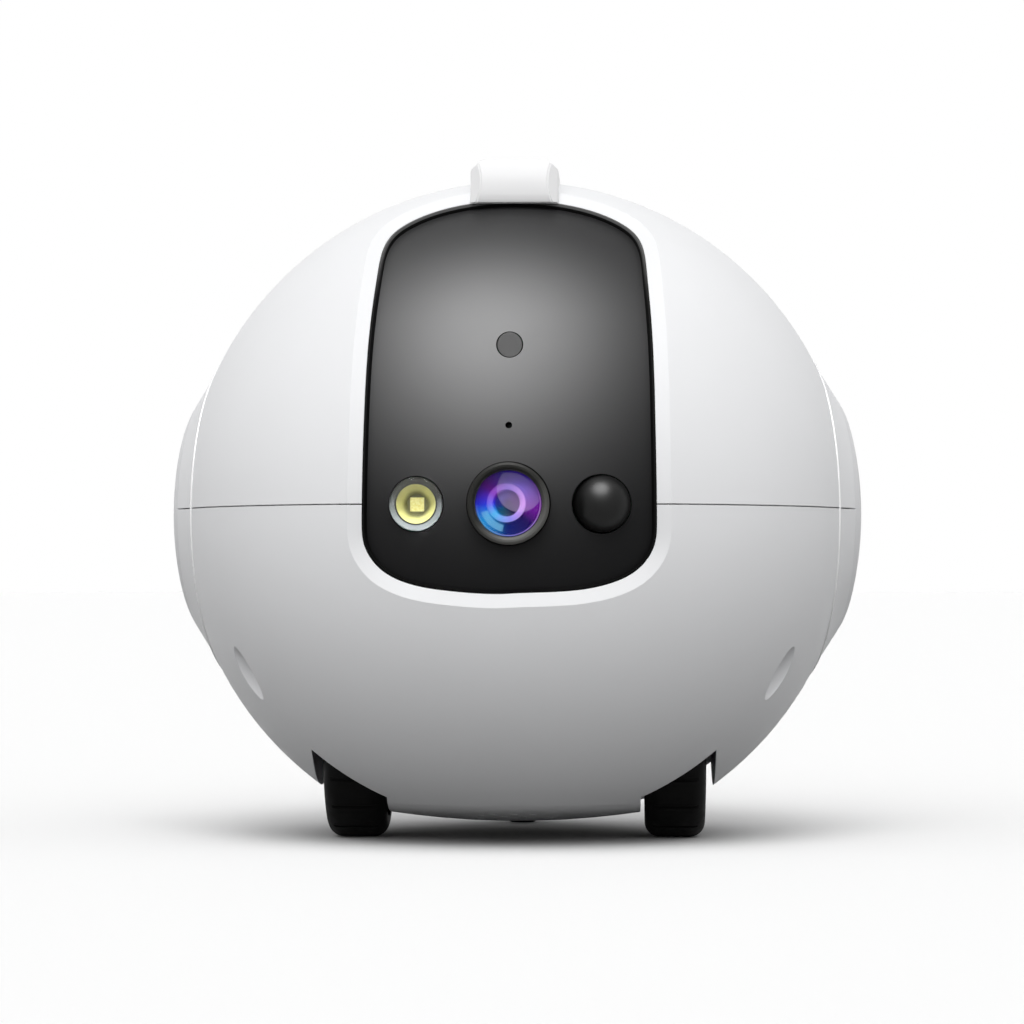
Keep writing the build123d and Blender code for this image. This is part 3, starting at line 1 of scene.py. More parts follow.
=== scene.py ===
from math import cos, pi, radians, sin, sqrt
import bmesh
import bpy
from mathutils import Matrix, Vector


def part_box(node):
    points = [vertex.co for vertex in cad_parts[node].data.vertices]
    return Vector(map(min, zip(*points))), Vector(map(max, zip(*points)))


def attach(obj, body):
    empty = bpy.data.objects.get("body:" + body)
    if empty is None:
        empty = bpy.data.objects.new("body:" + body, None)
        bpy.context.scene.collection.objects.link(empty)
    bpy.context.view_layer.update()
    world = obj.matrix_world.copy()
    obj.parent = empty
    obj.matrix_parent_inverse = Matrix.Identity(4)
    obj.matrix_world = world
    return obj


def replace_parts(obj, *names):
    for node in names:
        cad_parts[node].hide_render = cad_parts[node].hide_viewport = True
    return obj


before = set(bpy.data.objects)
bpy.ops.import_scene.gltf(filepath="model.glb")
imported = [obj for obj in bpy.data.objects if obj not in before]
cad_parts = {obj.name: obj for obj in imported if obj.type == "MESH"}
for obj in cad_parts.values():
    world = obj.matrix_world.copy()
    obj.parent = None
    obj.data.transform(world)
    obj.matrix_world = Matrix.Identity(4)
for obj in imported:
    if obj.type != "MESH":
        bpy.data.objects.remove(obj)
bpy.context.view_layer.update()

# ---- Sizes that several pieces or materials share, in metres ------------------------------------
MM = 0.001
UP = Vector((0, 0, 1))
ball_r = 75 * MM
ball_middle = Vector((0, 0, 72 * MM))
hub_back = radians(12)  # turn of the side hubs' axes to the rear
hub_foot_r = 37.5 * MM
bead_r = 0.3 * MM

# The camera, the lamp and the motion sensor sit in one row.
lens_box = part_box("lens_glass")
lens_back = lens_box[1][1]
row_z = (lens_box[0][2] + lens_box[1][2]) / 2
lamp_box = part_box("led_lens")
lamp_x = (lamp_box[0][0] + lamp_box[1][0]) / 2


# ---- Camera and light ---------------------------------------------------------------------------
def direction(turn, height):
    """Unit vector turned from the front to the right and raised above the horizon, in degrees."""
    a, h = radians(turn), radians(height)
    return Vector((sin(a) * cos(h), -cos(a) * cos(h), sin(h)))


def place_camera():
    """Put the camera where the photograph's one stood, which was fitted to the object's outline."""
    photo_width = 1024  # in pixels, the unit of the focal length and the shifts
    focal_length, shift_right, shift_up = 3988.08, -5.5, 3.0
    sensor_width = 36.0  # in millimetres, the unit of the lens
    distance = 0.9
    to_camera = direction(1.5, -1.0)
    data = bpy.data.cameras.new("camera")
    data.sensor_width = sensor_width
    data.lens = focal_length / photo_width * sensor_width
    data.shift_x = shift_right / photo_width
    data.shift_y = shift_up / photo_width
    data.clip_start = 0.01
    data.clip_end = 100.0
    camera = bpy.data.objects.new("camera", data)
    camera.location = ball_middle + to_camera * distance
    camera.rotation_euler = (-to_camera).to_track_quat("-Z", "Y").to_euler()
    bpy.context.scene.collection.objects.link(camera)
    bpy.context.scene.camera = camera


place_camera()
bpy.context.scene.view_settings.view_transform = "Standard"


def sun(name, height, turn, strength, spread, only_gloss=False):
    """A soft lamp at a height and a turn; only_gloss keeps it off what is matt."""
    data = bpy.data.lights.new(name, "SUN")
    data.energy = strength
    data.angle = radians(spread)
    lamp = bpy.data.objects.new(name, data)
    lamp.visible_diffuse = not only_gloss
    lamp.rotation_euler = direction(turn, height).to_track_quat("Z", "Y").to_euler()
    bpy.context.scene.collection.objects.link(lamp)


sun("front_lamp", height=42, turn=-4, strength=1.0, spread=50)
sun("top_lamp", height=60, turn=0, strength=0.48, spread=28)
sun("softbox", height=65, turn=-8, strength=9.0, spread=50, only_gloss=True)


def new_tree(owner):
    """The emptied node tree of a world or a material."""
    owner.use_nodes = True
    owner.node_tree.nodes.clear()
    return owner.node_tree


def add_node(tree, kind, **inputs):
    """A shader node with some inputs set; an underscore stands for a space."""
    made = tree.nodes.new("ShaderNode" + kind)
    for key, value in inputs.items():
        made.inputs[key.replace("_", " ")].default_value = value
    return made


def show_directly(tree, indirect, direct, output):
    """Show one shader to camera, glossy and transmission rays, and another to all the rest."""
    path = add_node(tree, "LightPath")
    seen = path.outputs["Is Camera Ray"]
    for ray in ("Is Glossy Ray", "Is Transmission Ray"):
        either = add_node(tree, "Math")
        either.operation = "MAXIMUM"
        tree.links.new(seen, either.inputs[0])
        tree.links.new(path.outputs[ray], either.inputs[1])
        seen = either.outputs[0]
    mix = add_node(tree, "MixShader")
    tree.links.new(seen, mix.inputs[0])
    tree.links.new(indirect.outputs[0], mix.inputs[1])
    tree.links.new(direct.outputs[0], mix.inputs[2])
    tree.links.new(mix.outputs[0], add_node(tree, output).inputs["Surface"])


def light_room():
    """A white room. Its walls are brighter than its ceiling, and its rear wall is dimmer than the
    front one, so that a pale outline still shows against the white background."""
    wall_light, ceiling_light, rear_light = 1.40, 0.50, 0.6  # the last is a share of the front
    world = bpy.data.worlds.new("studio")
    bpy.context.scene.world = world
    tree = new_tree(world)
    place = add_node(tree, "TexCoord")
    sides = add_node(tree, "SeparateXYZ")
    walls = add_node(tree, "MapRange", To_Min=wall_light, To_Max=ceiling_light)
    rear = add_node(tree, "MapRange", From_Min=-1.0, To_Min=1.0, To_Max=rear_light)
    both = add_node(tree, "Math")
    both.operation = "MULTIPLY"
    room = add_node(tree, "Background", Color=(1, 1, 1, 1))
    white = add_node(tree, "Background", Color=(1, 1, 1, 1), Strength=1.0)
    tree.links.new(place.outputs["Generated"], sides.inputs[0])
    tree.links.new(sides.outputs["Z"], walls.inputs["Value"])
    tree.links.new(sides.outputs["Y"], rear.inputs["Value"])
    tree.links.new(walls.outputs["Result"], both.inputs[0])
    tree.links.new(rear.outputs["Result"], both.inputs[1])
    tree.links.new(both.outputs[0], room.inputs["Strength"])
    show_directly(tree, room, white, "OutputWorld")


light_room()


# ---- Building blocks of the materials -----------------------------------------------------------
class Paint:
    """A procedural material under construction, patterned in the object's own metres."""

    def __init__(self, name, base, rough, metal=0.0, **sockets):
        self.material = bpy.data.materials.new(name)
        self.material.use_nodes = True
        self.tree = self.material.node_tree
        self.shader = self.tree.nodes["Principled BSDF"]
        self.shader.inputs["Base Color"].default_value = (*base, 1)
        self.shader.inputs["Roughness"].default_value = rough
        self.shader.inputs["Metallic"].default_value = metal
        for socket, value in sockets.items():
            self.shader.inputs[socket.replace("_", " ")].default_value = value
        self.place = self.node("TexCoord").outputs["Object"]
        self.normal = None

    def node(self, kind, **inputs):
        return add_node(self.tree, kind, **inputs)

    def link(self, a, b):
        self.tree.links.new(a, b)

    def noise(self, scale, detail=2.0, rough=0.5, stretch=None):
        texture = self.node("TexNoise", Scale=scale, Detail=detail, Roughness=rough)
        place = self.place
        if stretch:
            mapping = self.node("Mapping", Scale=stretch)
            self.link(place, mapping.inputs["Vector"])
            place = mapping.outputs["Vector"]
        self.link(place, texture.inputs["Vector"])
        return texture.outputs["Fac"]

    def cells(self, scale, feature):
        """Distance in a pattern of cells, to their edges (DISTANCE_TO_EDGE) or middles (F1)."""
        texture = self.node("TexVoronoi", Scale=scale)
        texture.feature = feature
        self.link(self.place, texture.inputs["Vector"])
        return texture.outputs["Distance"]

    def ramp(self, value, stops):
        ramp = self.node("ValToRGB")
        while len(ramp.color_ramp.elements) < len(stops):
            ramp.color_ramp.elements.new(0.5)
        for element, (at, colour) in zip(ramp.color_ramp.elements, stops):
            element.position = at
            element.color = (*colour, 1)
        self.link(value, ramp.inputs["Fac"])
        return ramp.outputs["Color"]

    def maths(self, operation, a, b=None, c=None):
        """Math node; a, b and c are sockets or numbers."""
        made = self.node("Math")
        made.operation = operation
        for slot, value in enumerate((a, b, c)):
            if value is None:
                continue
            if isinstance(value, (int, float)):
                made.inputs[slot].default_value = value
            else:
                self.link(value, made.inputs[slot])
        return made.outputs[0]

    def times(self, a, b):
        return self.maths("MULTIPLY", a, b)

    def axes(self, origin=(0, 0, 0)):
        """X, Y and Z in metres from a point of the object."""
        moved = self.node("VectorMath")
        moved.operation = "SUBTRACT"
        self.link(self.place, moved.inputs[0])
        moved.inputs[1].default_value = tuple(origin)
        split = self.node("SeparateXYZ")
        self.link(moved.outputs[0], split.inputs[0])
        return split.outputs[0], split.outputs[1], split.outputs[2]

    def distance(self, a, b):
        """Length of two perpendicular runs."""
        return self.maths("SQRT", self.maths("ADD", self.times(a, a), self.times(b, b)))

    def step(self, value, start, end):
        """Soft step from 0 at the start to 1 at the end, which may be the smaller one."""
        made = self.node("MapRange", From_Min=start, From_Max=end)
        made.interpolation_type = "SMOOTHSTEP"
        self.link(value, made.inputs["Value"])
        return made.outputs["Result"]

    def above(self, value, edge, soft):
        return self.step(value, edge - soft, edge + soft)

    def below(self, value, edge, soft):
        return self.step(value, edge + soft, edge - soft)

    def band(self, value, low, high, soft):
        """1 between two values, with soft ends."""
        return self.times(self.above(value, low, soft), self.below(value, high, soft))

    def mix(self, kind, factor, a, b):
        """Mix node for vectors or colours; a and b are sockets or plain colours."""
        first, result = {"VECTOR": (4, 1), "RGBA": (6, 2)}[kind]  # each kind has its own sockets
        made = self.node("Mix")
        made.data_type = kind
        self.link(factor, made.inputs[0])
        for slot, value in ((first, a), (first + 1, b)):
            if isinstance(value, tuple):
                made.inputs[slot].default_value = (*value, 1)
            else:
                self.link(value, made.inputs[slot])
        return made.outputs[result]

    def blend(self, factor, a, b):
        return self.mix("RGBA", factor, a, b)

    def colour(self, value):
        """Base colour from a socket."""
        self.link(value, self.shader.inputs["Base Color"])

    def noise_ramp(self, noise, dark, light):
        """Colours over the middle of a noise's range."""
        return self.ramp(noise, [(0.35, dark), (0.65, light)])

    def tint(self, noise, dark, light):
        """Base colour that follows a noise."""
        self.colour(self.noise_ramp(noise, dark, light))

    def rough_range(self, noise, low, high):
        """Roughness that follows a noise."""
        made = self.node("MapRange", From_Min=0.3, From_Max=0.7, To_Min=low, To_Max=high)
        self.link(noise, made.inputs["Value"])
        self.link(made.outputs["Result"], self.shader.inputs["Roughness"])

    def bump(self, height, strength, distance):
        """Relief on top of the normals that the paint has so far."""
        made = self.node("Bump", Strength=strength, Distance=distance)
        self.link(height, made.inputs["Height"])
        if self.normal is not None:
            self.link(self.normal, made.inputs["Normal"])
        self.normal = made.outputs["Normal"]
        self.link(self.normal, self.shader.inputs["Normal"])

    def soft_edges(self, radius):
        """Edges that catch the light as if rounded."""
        made = self.node("Bevel", Radius=radius)
        made.samples = 4
        self.normal = made.outputs["Normal"]
        self.link(self.normal, self.shader.inputs["Normal"])


def scaled(colour, factor):
    """A colour times a factor, kept at 1 or less."""
    return tuple(min(1.0, c * factor) for c in colour)


def tone(r, g, b):
    """A screen colour from 0 to 255 as linear light."""
    return tuple(((c / 255 + 0.055) / 1.055) ** 2.4 for c in (r, g, b))


# ---- Families of materials ----------------------------------------------------------------------
def moulded(name, base, rough, spread=0.02, edge=0.2, normal=None, **sockets):
    """Moulded plastic: fine grain, faint flow marks and slightly rounded edges.

    The spread is the share by which the flow marks are darker and lighter, the edge is the radius
    of the edges in millimetres, and normal gives the surface's own normals for a paint."""
    paint = Paint(name, base, rough, **sockets)
    if edge:
        paint.soft_edges(edge * MM)
    if normal:
        paint.normal = normal(paint)
    paint.tint(paint.noise(28, 3.0, 0.55), scaled(base, 1 - spread), scaled(base, 1 + spread))
    paint.rough_range(paint.noise(120, 4.0, 0.6), rough - 0.04, rough + 0.05)
    paint.bump(paint.noise(3500, 2.0, 0.6), 0.25, 0.004 * MM)
    return paint.material


def cap_normal(paint):
    """At the pole of a side cap's dome the faces' own normals take over from the smoothed ones."""
    pole_r, pole_soft = 1.35 * MM, 0.1 * MM
    x, y, z = paint.axes(ball_middle)
    aside = paint.maths("SUBTRACT", paint.times(y, cos(hub_back)),
                        paint.times(paint.maths("ABSOLUTE", x), sin(hub_back)))
    pole = paint.below(paint.distance(aside, z), pole_r, pole_soft)
    faces = paint.node("NewGeometry")
    return paint.mix("VECTOR", pole, faces.outputs["Normal"], faces.outputs["True Normal"])


def metal(name, base, rough, stretch=(1, 1, 1)):
    """Turned or drawn metal with fine marks, drawn out along an axis with a stretch under 1."""
    edge = 0.1
    paint = Paint(name, base, rough, metal=1.0)
    paint.soft_edges(edge * MM)
    marks = paint.noise(900, 3.0, 0.7, stretch)
    paint.tint(marks, scaled(base, 0.86), base)
    paint.rough_range(marks, rough - 0.06, rough + 0.08)
    paint.bump(marks, 0.2, 0.004 * MM)
    return paint.material


def rubber(name, base, rough, edge=0.25, **sockets):
    """Rubber with a dusty, uneven surface; the edge is the radius of its edges in millimetres."""
    paint = Paint(name, base, rough, **sockets)
    paint.soft_edges(edge * MM)
    paint.tint(paint.noise(220, 4.0, 0.6), scaled(base, 0.7), scaled(base, 1.35))
    paint.rough_range(paint.noise(500, 4.0, 0.65), rough - 0.06, rough + 0.08)
    paint.bump(paint.noise(2600, 3.0, 0.6), 0.35, 0.012 * MM)
    return paint.material


def clear(name, base, rough, ior):
    """Clear moulded or ground material with faint polish marks."""
    paint = Paint(name, base, rough, Transmission_Weight=1.0, IOR=ior)
    paint.rough_range(paint.noise(400, 4.0, 0.7), rough, rough + 0.02)
    return paint.material


# ---- Materials with a pattern of their own ------------------------------------------------------
def panel_paint():
    """Satin black panel with a painted highlight, a soft grey sheen a little over its middle."""
    highlight_middle = (-5 * MM, 0, 110.5 * MM)
    highlight_reach = 26 * MM
    shorter_up = 0.55  # the painted highlight fades this much sooner above its middle
    black, highlight_grey = (0.008, 0.008, 0.0085), (0.27, 0.27, 0.272)
    paint = Paint("panel_black", (0.008, 0.008, 0.009), 0.46, Specular_IOR_Level=0.05)
    paint.soft_edges(0.15 * MM)
    # Painted highlight: grey lifted into the colour round a point over the panel's middle.
    x, _, z = paint.axes(highlight_middle)
    z = paint.maths("MULTIPLY_ADD", paint.maths("MAXIMUM", z, 0.0), shorter_up, z)
    reach = paint.maths("DIVIDE", paint.distance(x, z), highlight_reach)
    painted_highlight = paint.maths("EXPONENT", paint.times(paint.times(reach, reach), -1.0))
    cloud = paint.maths("MULTIPLY_ADD", paint.noise(60, 3.0, 0.55), 0.06, 0.97)
    paint.colour(paint.ramp(paint.times(painted_highlight, cloud), [(0.0, black), (1.0, highlight_grey)]))
    paint.rough_range(paint.noise(160, 4.0, 0.6), 0.43, 0.49)
    paint.bump(paint.noise(5200, 2.0, 0.6), 0.2, 0.003 * MM)
    return paint.material


def gasket_paint():
    """Black lining of the recess; below its upper edge the wall's outer half is patchy paler grey.
    """
    outer_r = 72.75 * MM
    grey_from, grey_to, grey_soft = 55 * MM, 90 * MM, 12 * MM  # above the ball's middle
    black, pale_grey = (0.002, 0.002, 0.002), (0.15, 0.15, 0.15)
    paint = Paint("gasket_black", black, 0.6, Specular_IOR_Level=0.06)
    x, y, z = paint.axes(ball_middle)
    out = paint.distance(paint.distance(x, y), z)
    outer = paint.times(paint.above(out, outer_r, 0.12 * MM),
                        paint.band(z, grey_from, grey_to, grey_soft))
    patches = paint.maths("MULTIPLY_ADD", paint.noise(700, 3.0, 0.6), 0.4, 0.8)
    paint.colour(paint.ramp(paint.times(outer, patches), [(0.0, black), (1.0, pale_grey)]))
    paint.rough_range(paint.noise(500, 4.0, 0.65), 0.54, 0.68)
    paint.bump(paint.noise(2600, 3.0, 0.6), 0.3, 0.01 * MM)
    return paint.material


def lens_paint():
    """Coatings of the camera's inner elements, in colours that change round its axis, with painted
    reflections and a painted highlight over them.
    """
    strength = 0.52  # of the coatings' light
    paint = Paint("lens_coating_and_reflections", (0.1, 0.08, 0.3), 0.3, Specular_IOR_Level=0.03)
    x, _, z = paint.axes((0, 0, row_z))
    r = paint.distance(x, z)
    turn = paint.maths("MULTIPLY_ADD", paint.maths("ARCTAN2", z, x), 0.5 / pi, 0.5)

    def coat(*screen):
        return scaled(tone(*screen), strength)

    def coats(*stops):
        """Screen colours round the axis, each after its place in a turn from the left."""
        return paint.ramp(turn, [(at, coat(*screen)) for at, *screen in stops])

    def lay(under, over, share, mask):
        """Colour with a share of another one over it, inside a mask."""
        return paint.blend(paint.times(mask, share), under, over)

    coating = coats((0.00, 44, 48, 228), (0.09, 34, 150, 222), (0.24, 6, 28, 110),
                    (0.38, 26, 6, 88), (0.48, 122, 26, 165), (0.64, 78, 40, 196),
                    (0.78, 46, 14, 160), (0.89, 98, 14, 140), (1.00, 44, 48, 228))
    bright = coats((0.00, 130, 120, 250), (0.10, 90, 190, 240), (0.28, 160, 150, 248),
                   (0.50, 235, 170, 255), (0.75, 160, 125, 240), (0.90, 160, 80, 210),
                   (1.00, 130, 120, 250))
    heart = coats((0.00, 28, 34, 140), (0.12, 8, 70, 96), (0.32, 20, 12, 62), (0.62, 84, 40, 116),
                  (0.80, 66, 58, 150), (1.00, 28, 34, 140))

    # The heart with a darker middle, and the coating round it.
    deep = paint.blend(paint.below(r, 1.0 * MM, 0.8 * MM), heart, coat(22, 20, 66))
    colour = paint.blend(paint.below(r, 2.7 * MM, 0.3 * MM), coating, deep)
    # A bright ring, a little off the axis.
    ring_r = paint.distance(paint.maths("ADD", x, 0.45 * MM),
                            paint.maths("SUBTRACT", z, 0.15 * MM))
    colour = lay(colour, bright, 0.85, paint.band(ring_r, 2.8 * MM, 4.0 * MM, 0.15 * MM))
    # A pale sector at the lower left is a painted reflection, and a thin arc near the edge below
    #  is a painted highlight.
    reflection_sector = paint.times(paint.band(turn, 0.05, 0.215, 0.008),
                         paint.band(r, 4.5 * MM, 5.9 * MM, 0.15 * MM))
    colour = lay(colour, coat(130, 205, 235), 0.5, reflection_sector)
    highlight_arc = paint.times(paint.band(turn, 0.02, 0.62, 0.04),
                      paint.band(r, 6.5 * MM, 6.72 * MM, 0.1 * MM))
    colour = lay(colour, bright, 0.65, highlight_arc)
    # A pale disc at the upper right, a painted reflection, and the dark edge.
    reflection_disc_r = paint.distance(paint.maths("SUBTRACT", x, 2.35 * MM),
                            paint.maths("SUBTRACT", z, 3.0 * MM))
    reflection_disc = paint.times(paint.below(reflection_disc_r, 4.75 * MM, 0.08 * MM),
                       paint.below(r, 6.4 * MM, 0.1 * MM))
    colour = lay(colour, coat(240, 214, 255), 0.2, reflection_disc)
    paint.colour(paint.blend(paint.above(r, 6.9 * MM, 0.25 * MM), colour, coat(8, 5, 28)))
    return paint.material


def bowl_paint():
    """Lamp bowl: silver rim, dark groove, yellow slope and olive well, all paler below, which is
    painted light; the yellow of the slope is a painted reflection of the chip.
    """
    slope_r, groove_r, rim_r = 2.75 * MM, 4.1 * MM, 4.45 * MM
    paint = Paint("lamp_bowl", (0.5, 0.5, 0.5), 0.35, metal=0.1, Specular_IOR_Level=0.1)
    x, _, z = paint.axes((lamp_x, 0, row_z))
    r = paint.distance(x, z)
    # Painted light and shade: well and slope paler below, the rim silver below and dark above.
    lit_below = paint.below(z, 0.4 * MM, 2.6 * MM)
    well = paint.blend(lit_below, tone(126, 126, 104), tone(158, 157, 124))
    # The yellow of the slope is a painted reflection of the chip.
    slope = paint.blend(lit_below, tone(178, 176, 136), tone(206, 203, 140))
    rim = paint.blend(paint.below(z, -1.6 * MM, 4.4 * MM), tone(58, 58, 56), tone(156, 162, 165))
    colour = paint.blend(paint.above(r, slope_r, 0.4 * MM), well, slope)
    colour = paint.blend(paint.above(r, groove_r, 0.1 * MM), colour, tone(48, 48, 46))
    paint.colour(paint.blend(paint.above(r, rim_r, 0.12 * MM), colour, rim))
    paint.rough_range(paint.noise(1500, 3.0, 0.6), 0.3, 0.42)
    paint.bump(paint.noise(900, 2.0, 0.5), 0.15, 0.02 * MM)
    return paint.material


def ring_paint():
    """Black anodised ring round the camera, with painted light: paler towards the lower right."""
    lit_fade_width = 17 * MM
    paint = Paint("ring_black", (0.02, 0.02, 0.02), 0.42, Specular_IOR_Level=0.1)
    paint.soft_edges(0.12 * MM)
    x, _, z = paint.axes((0, 0, row_z))
    # Painted light: the colour grows paler across the ring towards its lower right.
    across = paint.maths("MULTIPLY_ADD", x, 0.55, paint.times(z, -0.84))
    paint.colour(paint.ramp(paint.maths("MULTIPLY_ADD", across, 1 / lit_fade_width, 0.5),
                            [(0.0, tone(34, 34, 32)), (0.45, tone(44, 44, 42)),
                             (1.0, tone(104, 104, 102))]))
    paint.rough_range(paint.noise(420, 4.0, 0.6), 0.36, 0.48)
    paint.bump(paint.noise(3000, 2.0, 0.6), 0.2, 0.003 * MM)
    return paint.material


def phosphor_paint():
    """Yellow phosphor of the lamp's chip, which glows a little."""
    paint = Paint("phosphor", tone(225, 220, 150), 0.6,
                  Emission_Color=(1.0, 0.93, 0.55, 1), Emission_Strength=0.2)
    grains = paint.noise(2500, 3.0, 0.6)
    paint.tint(grains, tone(222, 212, 120), tone(238, 234, 170))
    paint.bump(grains, 0.4, 0.02 * MM)
    return paint.material


def board_paint():
    """Solder mask with buried traces, and bare pads that shine through it."""
    paint = Paint("solder_mask", (0.01, 0.09, 0.04), 0.32, Coat_Weight=0.4, Coat_Roughness=0.2)
    trace = paint.below(paint.cells(240.0, "DISTANCE_TO_EDGE"), 0.06, 0.01)
    pad = paint.below(paint.cells(420.0, "F1"), 0.14, 0.02)
    colour = paint.blend(trace, (0.008, 0.075, 0.032), (0.016, 0.16, 0.07))
    paint.colour(paint.blend(paint.times(pad, 0.8), colour, (0.7, 0.68, 0.6)))
    paint.rough_range(paint.noise(300, 3.0, 0.6), 0.28, 0.4)
    paint.bump(trace, 0.3, 0.03 * MM)
    return paint.material


def cell_paint():
    """Shrink-wrapped cells with a bare metal rim at their ends."""
    bare = 1.2 * MM
    low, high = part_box("battery_cells")
    paint = Paint("cell_wrap", (0.02, 0.12, 0.32), 0.3, Coat_Weight=0.5, Coat_Roughness=0.15)
    _, y, _ = paint.axes()
    wrapped = paint.band(y, low[1] + bare, high[1] - bare, 0.1 * MM)
    blue = paint.noise_ramp(paint.noise(90, 3.0, 0.6), (0.012, 0.10, 0.30), (0.02, 0.15, 0.38))
    paint.colour(paint.blend(wrapped, (0.6, 0.6, 0.62), blue))
    paint.rough_range(paint.noise(200, 4.0, 0.6), 0.24, 0.38)
    paint.bump(paint.noise(700, 3.0, 0.5, (1, 0.1, 1)), 0.25, 0.04 * MM)
    return paint.material


def speaker_paint():
    """Paper cone with pressed rings."""
    ring_pitch = 1.4 * MM
    low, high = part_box("speaker")
    paint = Paint("speaker_cone", (0.03, 0.03, 0.03), 0.7)
    x, y, _ = paint.axes(((low[0] + high[0]) / 2, (low[1] + high[1]) / 2, 0))
    rings = paint.maths("SINE", paint.times(paint.distance(x, y), 2 * pi / ring_pitch))
    paint.tint(paint.noise(900, 4.0, 0.7), (0.018, 0.018, 0.018), (0.05, 0.05, 0.05))
    paint.rough_range(paint.noise(600, 3.0, 0.6), 0.6, 0.78)
    paint.bump(rings, 0.4, 0.08 * MM)
    return paint.material


# ---- Which node wears which material ------------------------------------------------------------
def wear(obj, material):
    """Put one material on all of an object's slots."""
    if not obj.material_slots:
        obj.data.materials.append(material)
    for slot in obj.material_slots:
        slot.material = material


tab_white = moulded("tab_white", (0.875, 0.875, 0.88), 0.4, spread=0.006, Specular_IOR_Level=0.04)
bead_white = moulded("bead_white", (0.9, 0.9, 0.905), 0.25, spread=0.006, edge=0,
                     Specular_IOR_Level=0.5)
dome_black = moulded("dome_black", (0.004, 0.004, 0.004), 0.38, spread=0.1, edge=0,
                     Specular_IOR_Level=0.2)
lamp_clear = clear("lamp_clear", (0.97, 0.98, 0.97), 0.03, ior=1.08)
lens_coating_and_reflections = lens_paint()

finishes = (
    (moulded("shell_white", (0.853, 0.858, 0.87), 0.46, spread=0.008, edge=0.22,
             Specular_IOR_Level=0.04),
     "upper_shell lower_shell lid_shell outlet_bezel outlet_flap"),
    # Side caps: a darker copy of the shells' white, painted shade for their sideways faces.
    (moulded("cap_white_shaded", (0.80, 0.805, 0.817), 0.46, spread=0.008, edge=0, normal=cap_normal,
             Specular_IOR_Level=0.04),
     "side_cap_left side_cap_right"),
    (tab_white, "lid_tab power_button"),
    (panel_paint(), "front_panel"),
    (gasket_paint(), "panel_gasket"),
    (moulded("trim_grey", (0.035, 0.035, 0.038), 0.34, spread=0.05, edge=0.12), "mic_boot"),
    (ring_paint(), "lens_ring"),
    (clear("lens_clear", (0.98, 0.98, 1.0), 0.0, ior=1.12), "lens_glass"),
    (moulded("matt_black", (0.008, 0.008, 0.009), 0.55, spread=0.1, edge=0.08),
     "lens_cone camera_module"),
    (lamp_clear, "led_lens"),
    (bowl_paint(), "led_reflector"),
    (phosphor_paint(), "led_chip"),
    (dome_black, "pir_dome"),
    (moulded("smoked_grey", (0.10, 0.10, 0.10), 0.42, spread=0.04, edge=0.1), "light_pipe"),
    (rubber("tyre_black", (0.002, 0.002, 0.002), 0.55, edge=0.3, Specular_IOR_Level=0.08),
     "tyre_left tyre_right caster_wheel"),
    (moulded("rim_grey", (0.05, 0.05, 0.055), 0.5, spread=0.05, edge=0.25),
     "wheel_rim_left wheel_rim_right caster_fork"),
    (metal("steel", (0.62, 0.62, 0.64), 0.3),
     "wheel_axle_left wheel_axle_right caster_axle lid_hinge_pin flap_pin dispenser_shaft "
     "toss_shaft frame_screws board_screws shell_screws usb_port pir_sensor"),
    (metal("motor_steel", (0.58, 0.59, 0.6), 0.34, stretch=(0.15, 1, 1)),
     "drive_motor_left drive_motor_right dispenser_motor toss_motor"),
    (metal("contact_plate", (0.75, 0.62, 0.35), 0.28), "battery_contacts"),
    (moulded("frame_grey", (0.12, 0.125, 0.135), 0.55, spread=0.04), "chassis_frame motor_clamp"),
    (moulded("store_frosted", (0.66, 0.67, 0.68), 0.42, edge=0.3), "treat_hopper dispenser_case"),
    (moulded("feed_orange", (0.78, 0.33, 0.06), 0.42, spread=0.03, edge=0.25),
     "dispenser_rotor dispenser_pinion toss_wheel"),
    (moulded("mechanism_white", (0.6, 0.61, 0.62), 0.48, edge=0.25), "toss_housing"),
    (rubber("silicone", (0.5, 0.51, 0.53), 0.55), "lid_seal"),
    (moulded("chip_black", (0.015, 0.015, 0.016), 0.5, spread=0.1, edge=0.08),
     "board_chips power_switch"),
    (board_paint(), "main_board sensor_board rear_board"),
    (cell_paint(), "battery_cells"),
    (speaker_paint(), "speaker"),
)
for finish, names in finishes:
    for name in names.split():
        wear(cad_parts[name], finish)


# ---- Pieces that the solids leave out or keep plainer -------------------------------------------
def add_piece(mesh, name, finish, body, bend=pi):
    """Make a bmesh a smooth piece that rides on a body; edges that bend by more stay sharp."""
    bmesh.ops.recalc_face_normals(mesh, faces=mesh.faces)
    data = bpy.data.meshes.new(name)
    mesh.to_mesh(data)
    mesh.free()
    data.shade_smooth()
    data.set_sharp_from_angle(angle=bend)
    piece = bpy.data.objects.new(name, data)
    bpy.context.scene.collection.objects.link(piece)
    wear(piece, finish)
    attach(piece, body)
    return piece


def turned(name, outline, x, finish):
    """A piece of the housing, turned about an axis along Y from points of radius and Y."""
    steps, bend = 96, radians(32)
    mesh = bmesh.new()
    rings = []
    for r, y in outline:
        turns = [2 * pi * k / steps for k in range(steps if r else 1)]
        rings.append([mesh.verts.new((x + r * cos(a), y, row_z + r * sin(a))) for a in turns])
    for near, away in zip(rings, rings[1:]):
        for k in range(steps):
            corners = []
            for ring, at in ((near, k), (near, k + 1), (away, k + 1), (away, k)):
                if ring[at % len(ring)] not in corners:
                    corners.append(ring[at % len(ring)])
            mesh.faces.new(corners)
    return add_piece(mesh, name, finish, "housing", bend)


# The coated inner group behind the front glass: a shallow cone, a raised ring and a hollow middle,
# in millimetres of radius and depth.
lens_profile = ((0, 1.02), (1.0, 0.98), (1.8, 0.84), (2.5, 0.54), (2.7, 0.34), (2.9, 0.24),
                (3.5, 0.20), (4.1, 0.22), (4.3, 0.28), (4.5, 0.34), (6.4, 0.06), (6.85, 0.015),
                (6.85, 0.04), (4.05, 0.55), (3.95, 1.08), (0, 1.08))
turned("lens_element", [(r * MM, lens_back + deep * MM) for r, deep in lens_profile], 0,
       lens_coating_and_reflections)

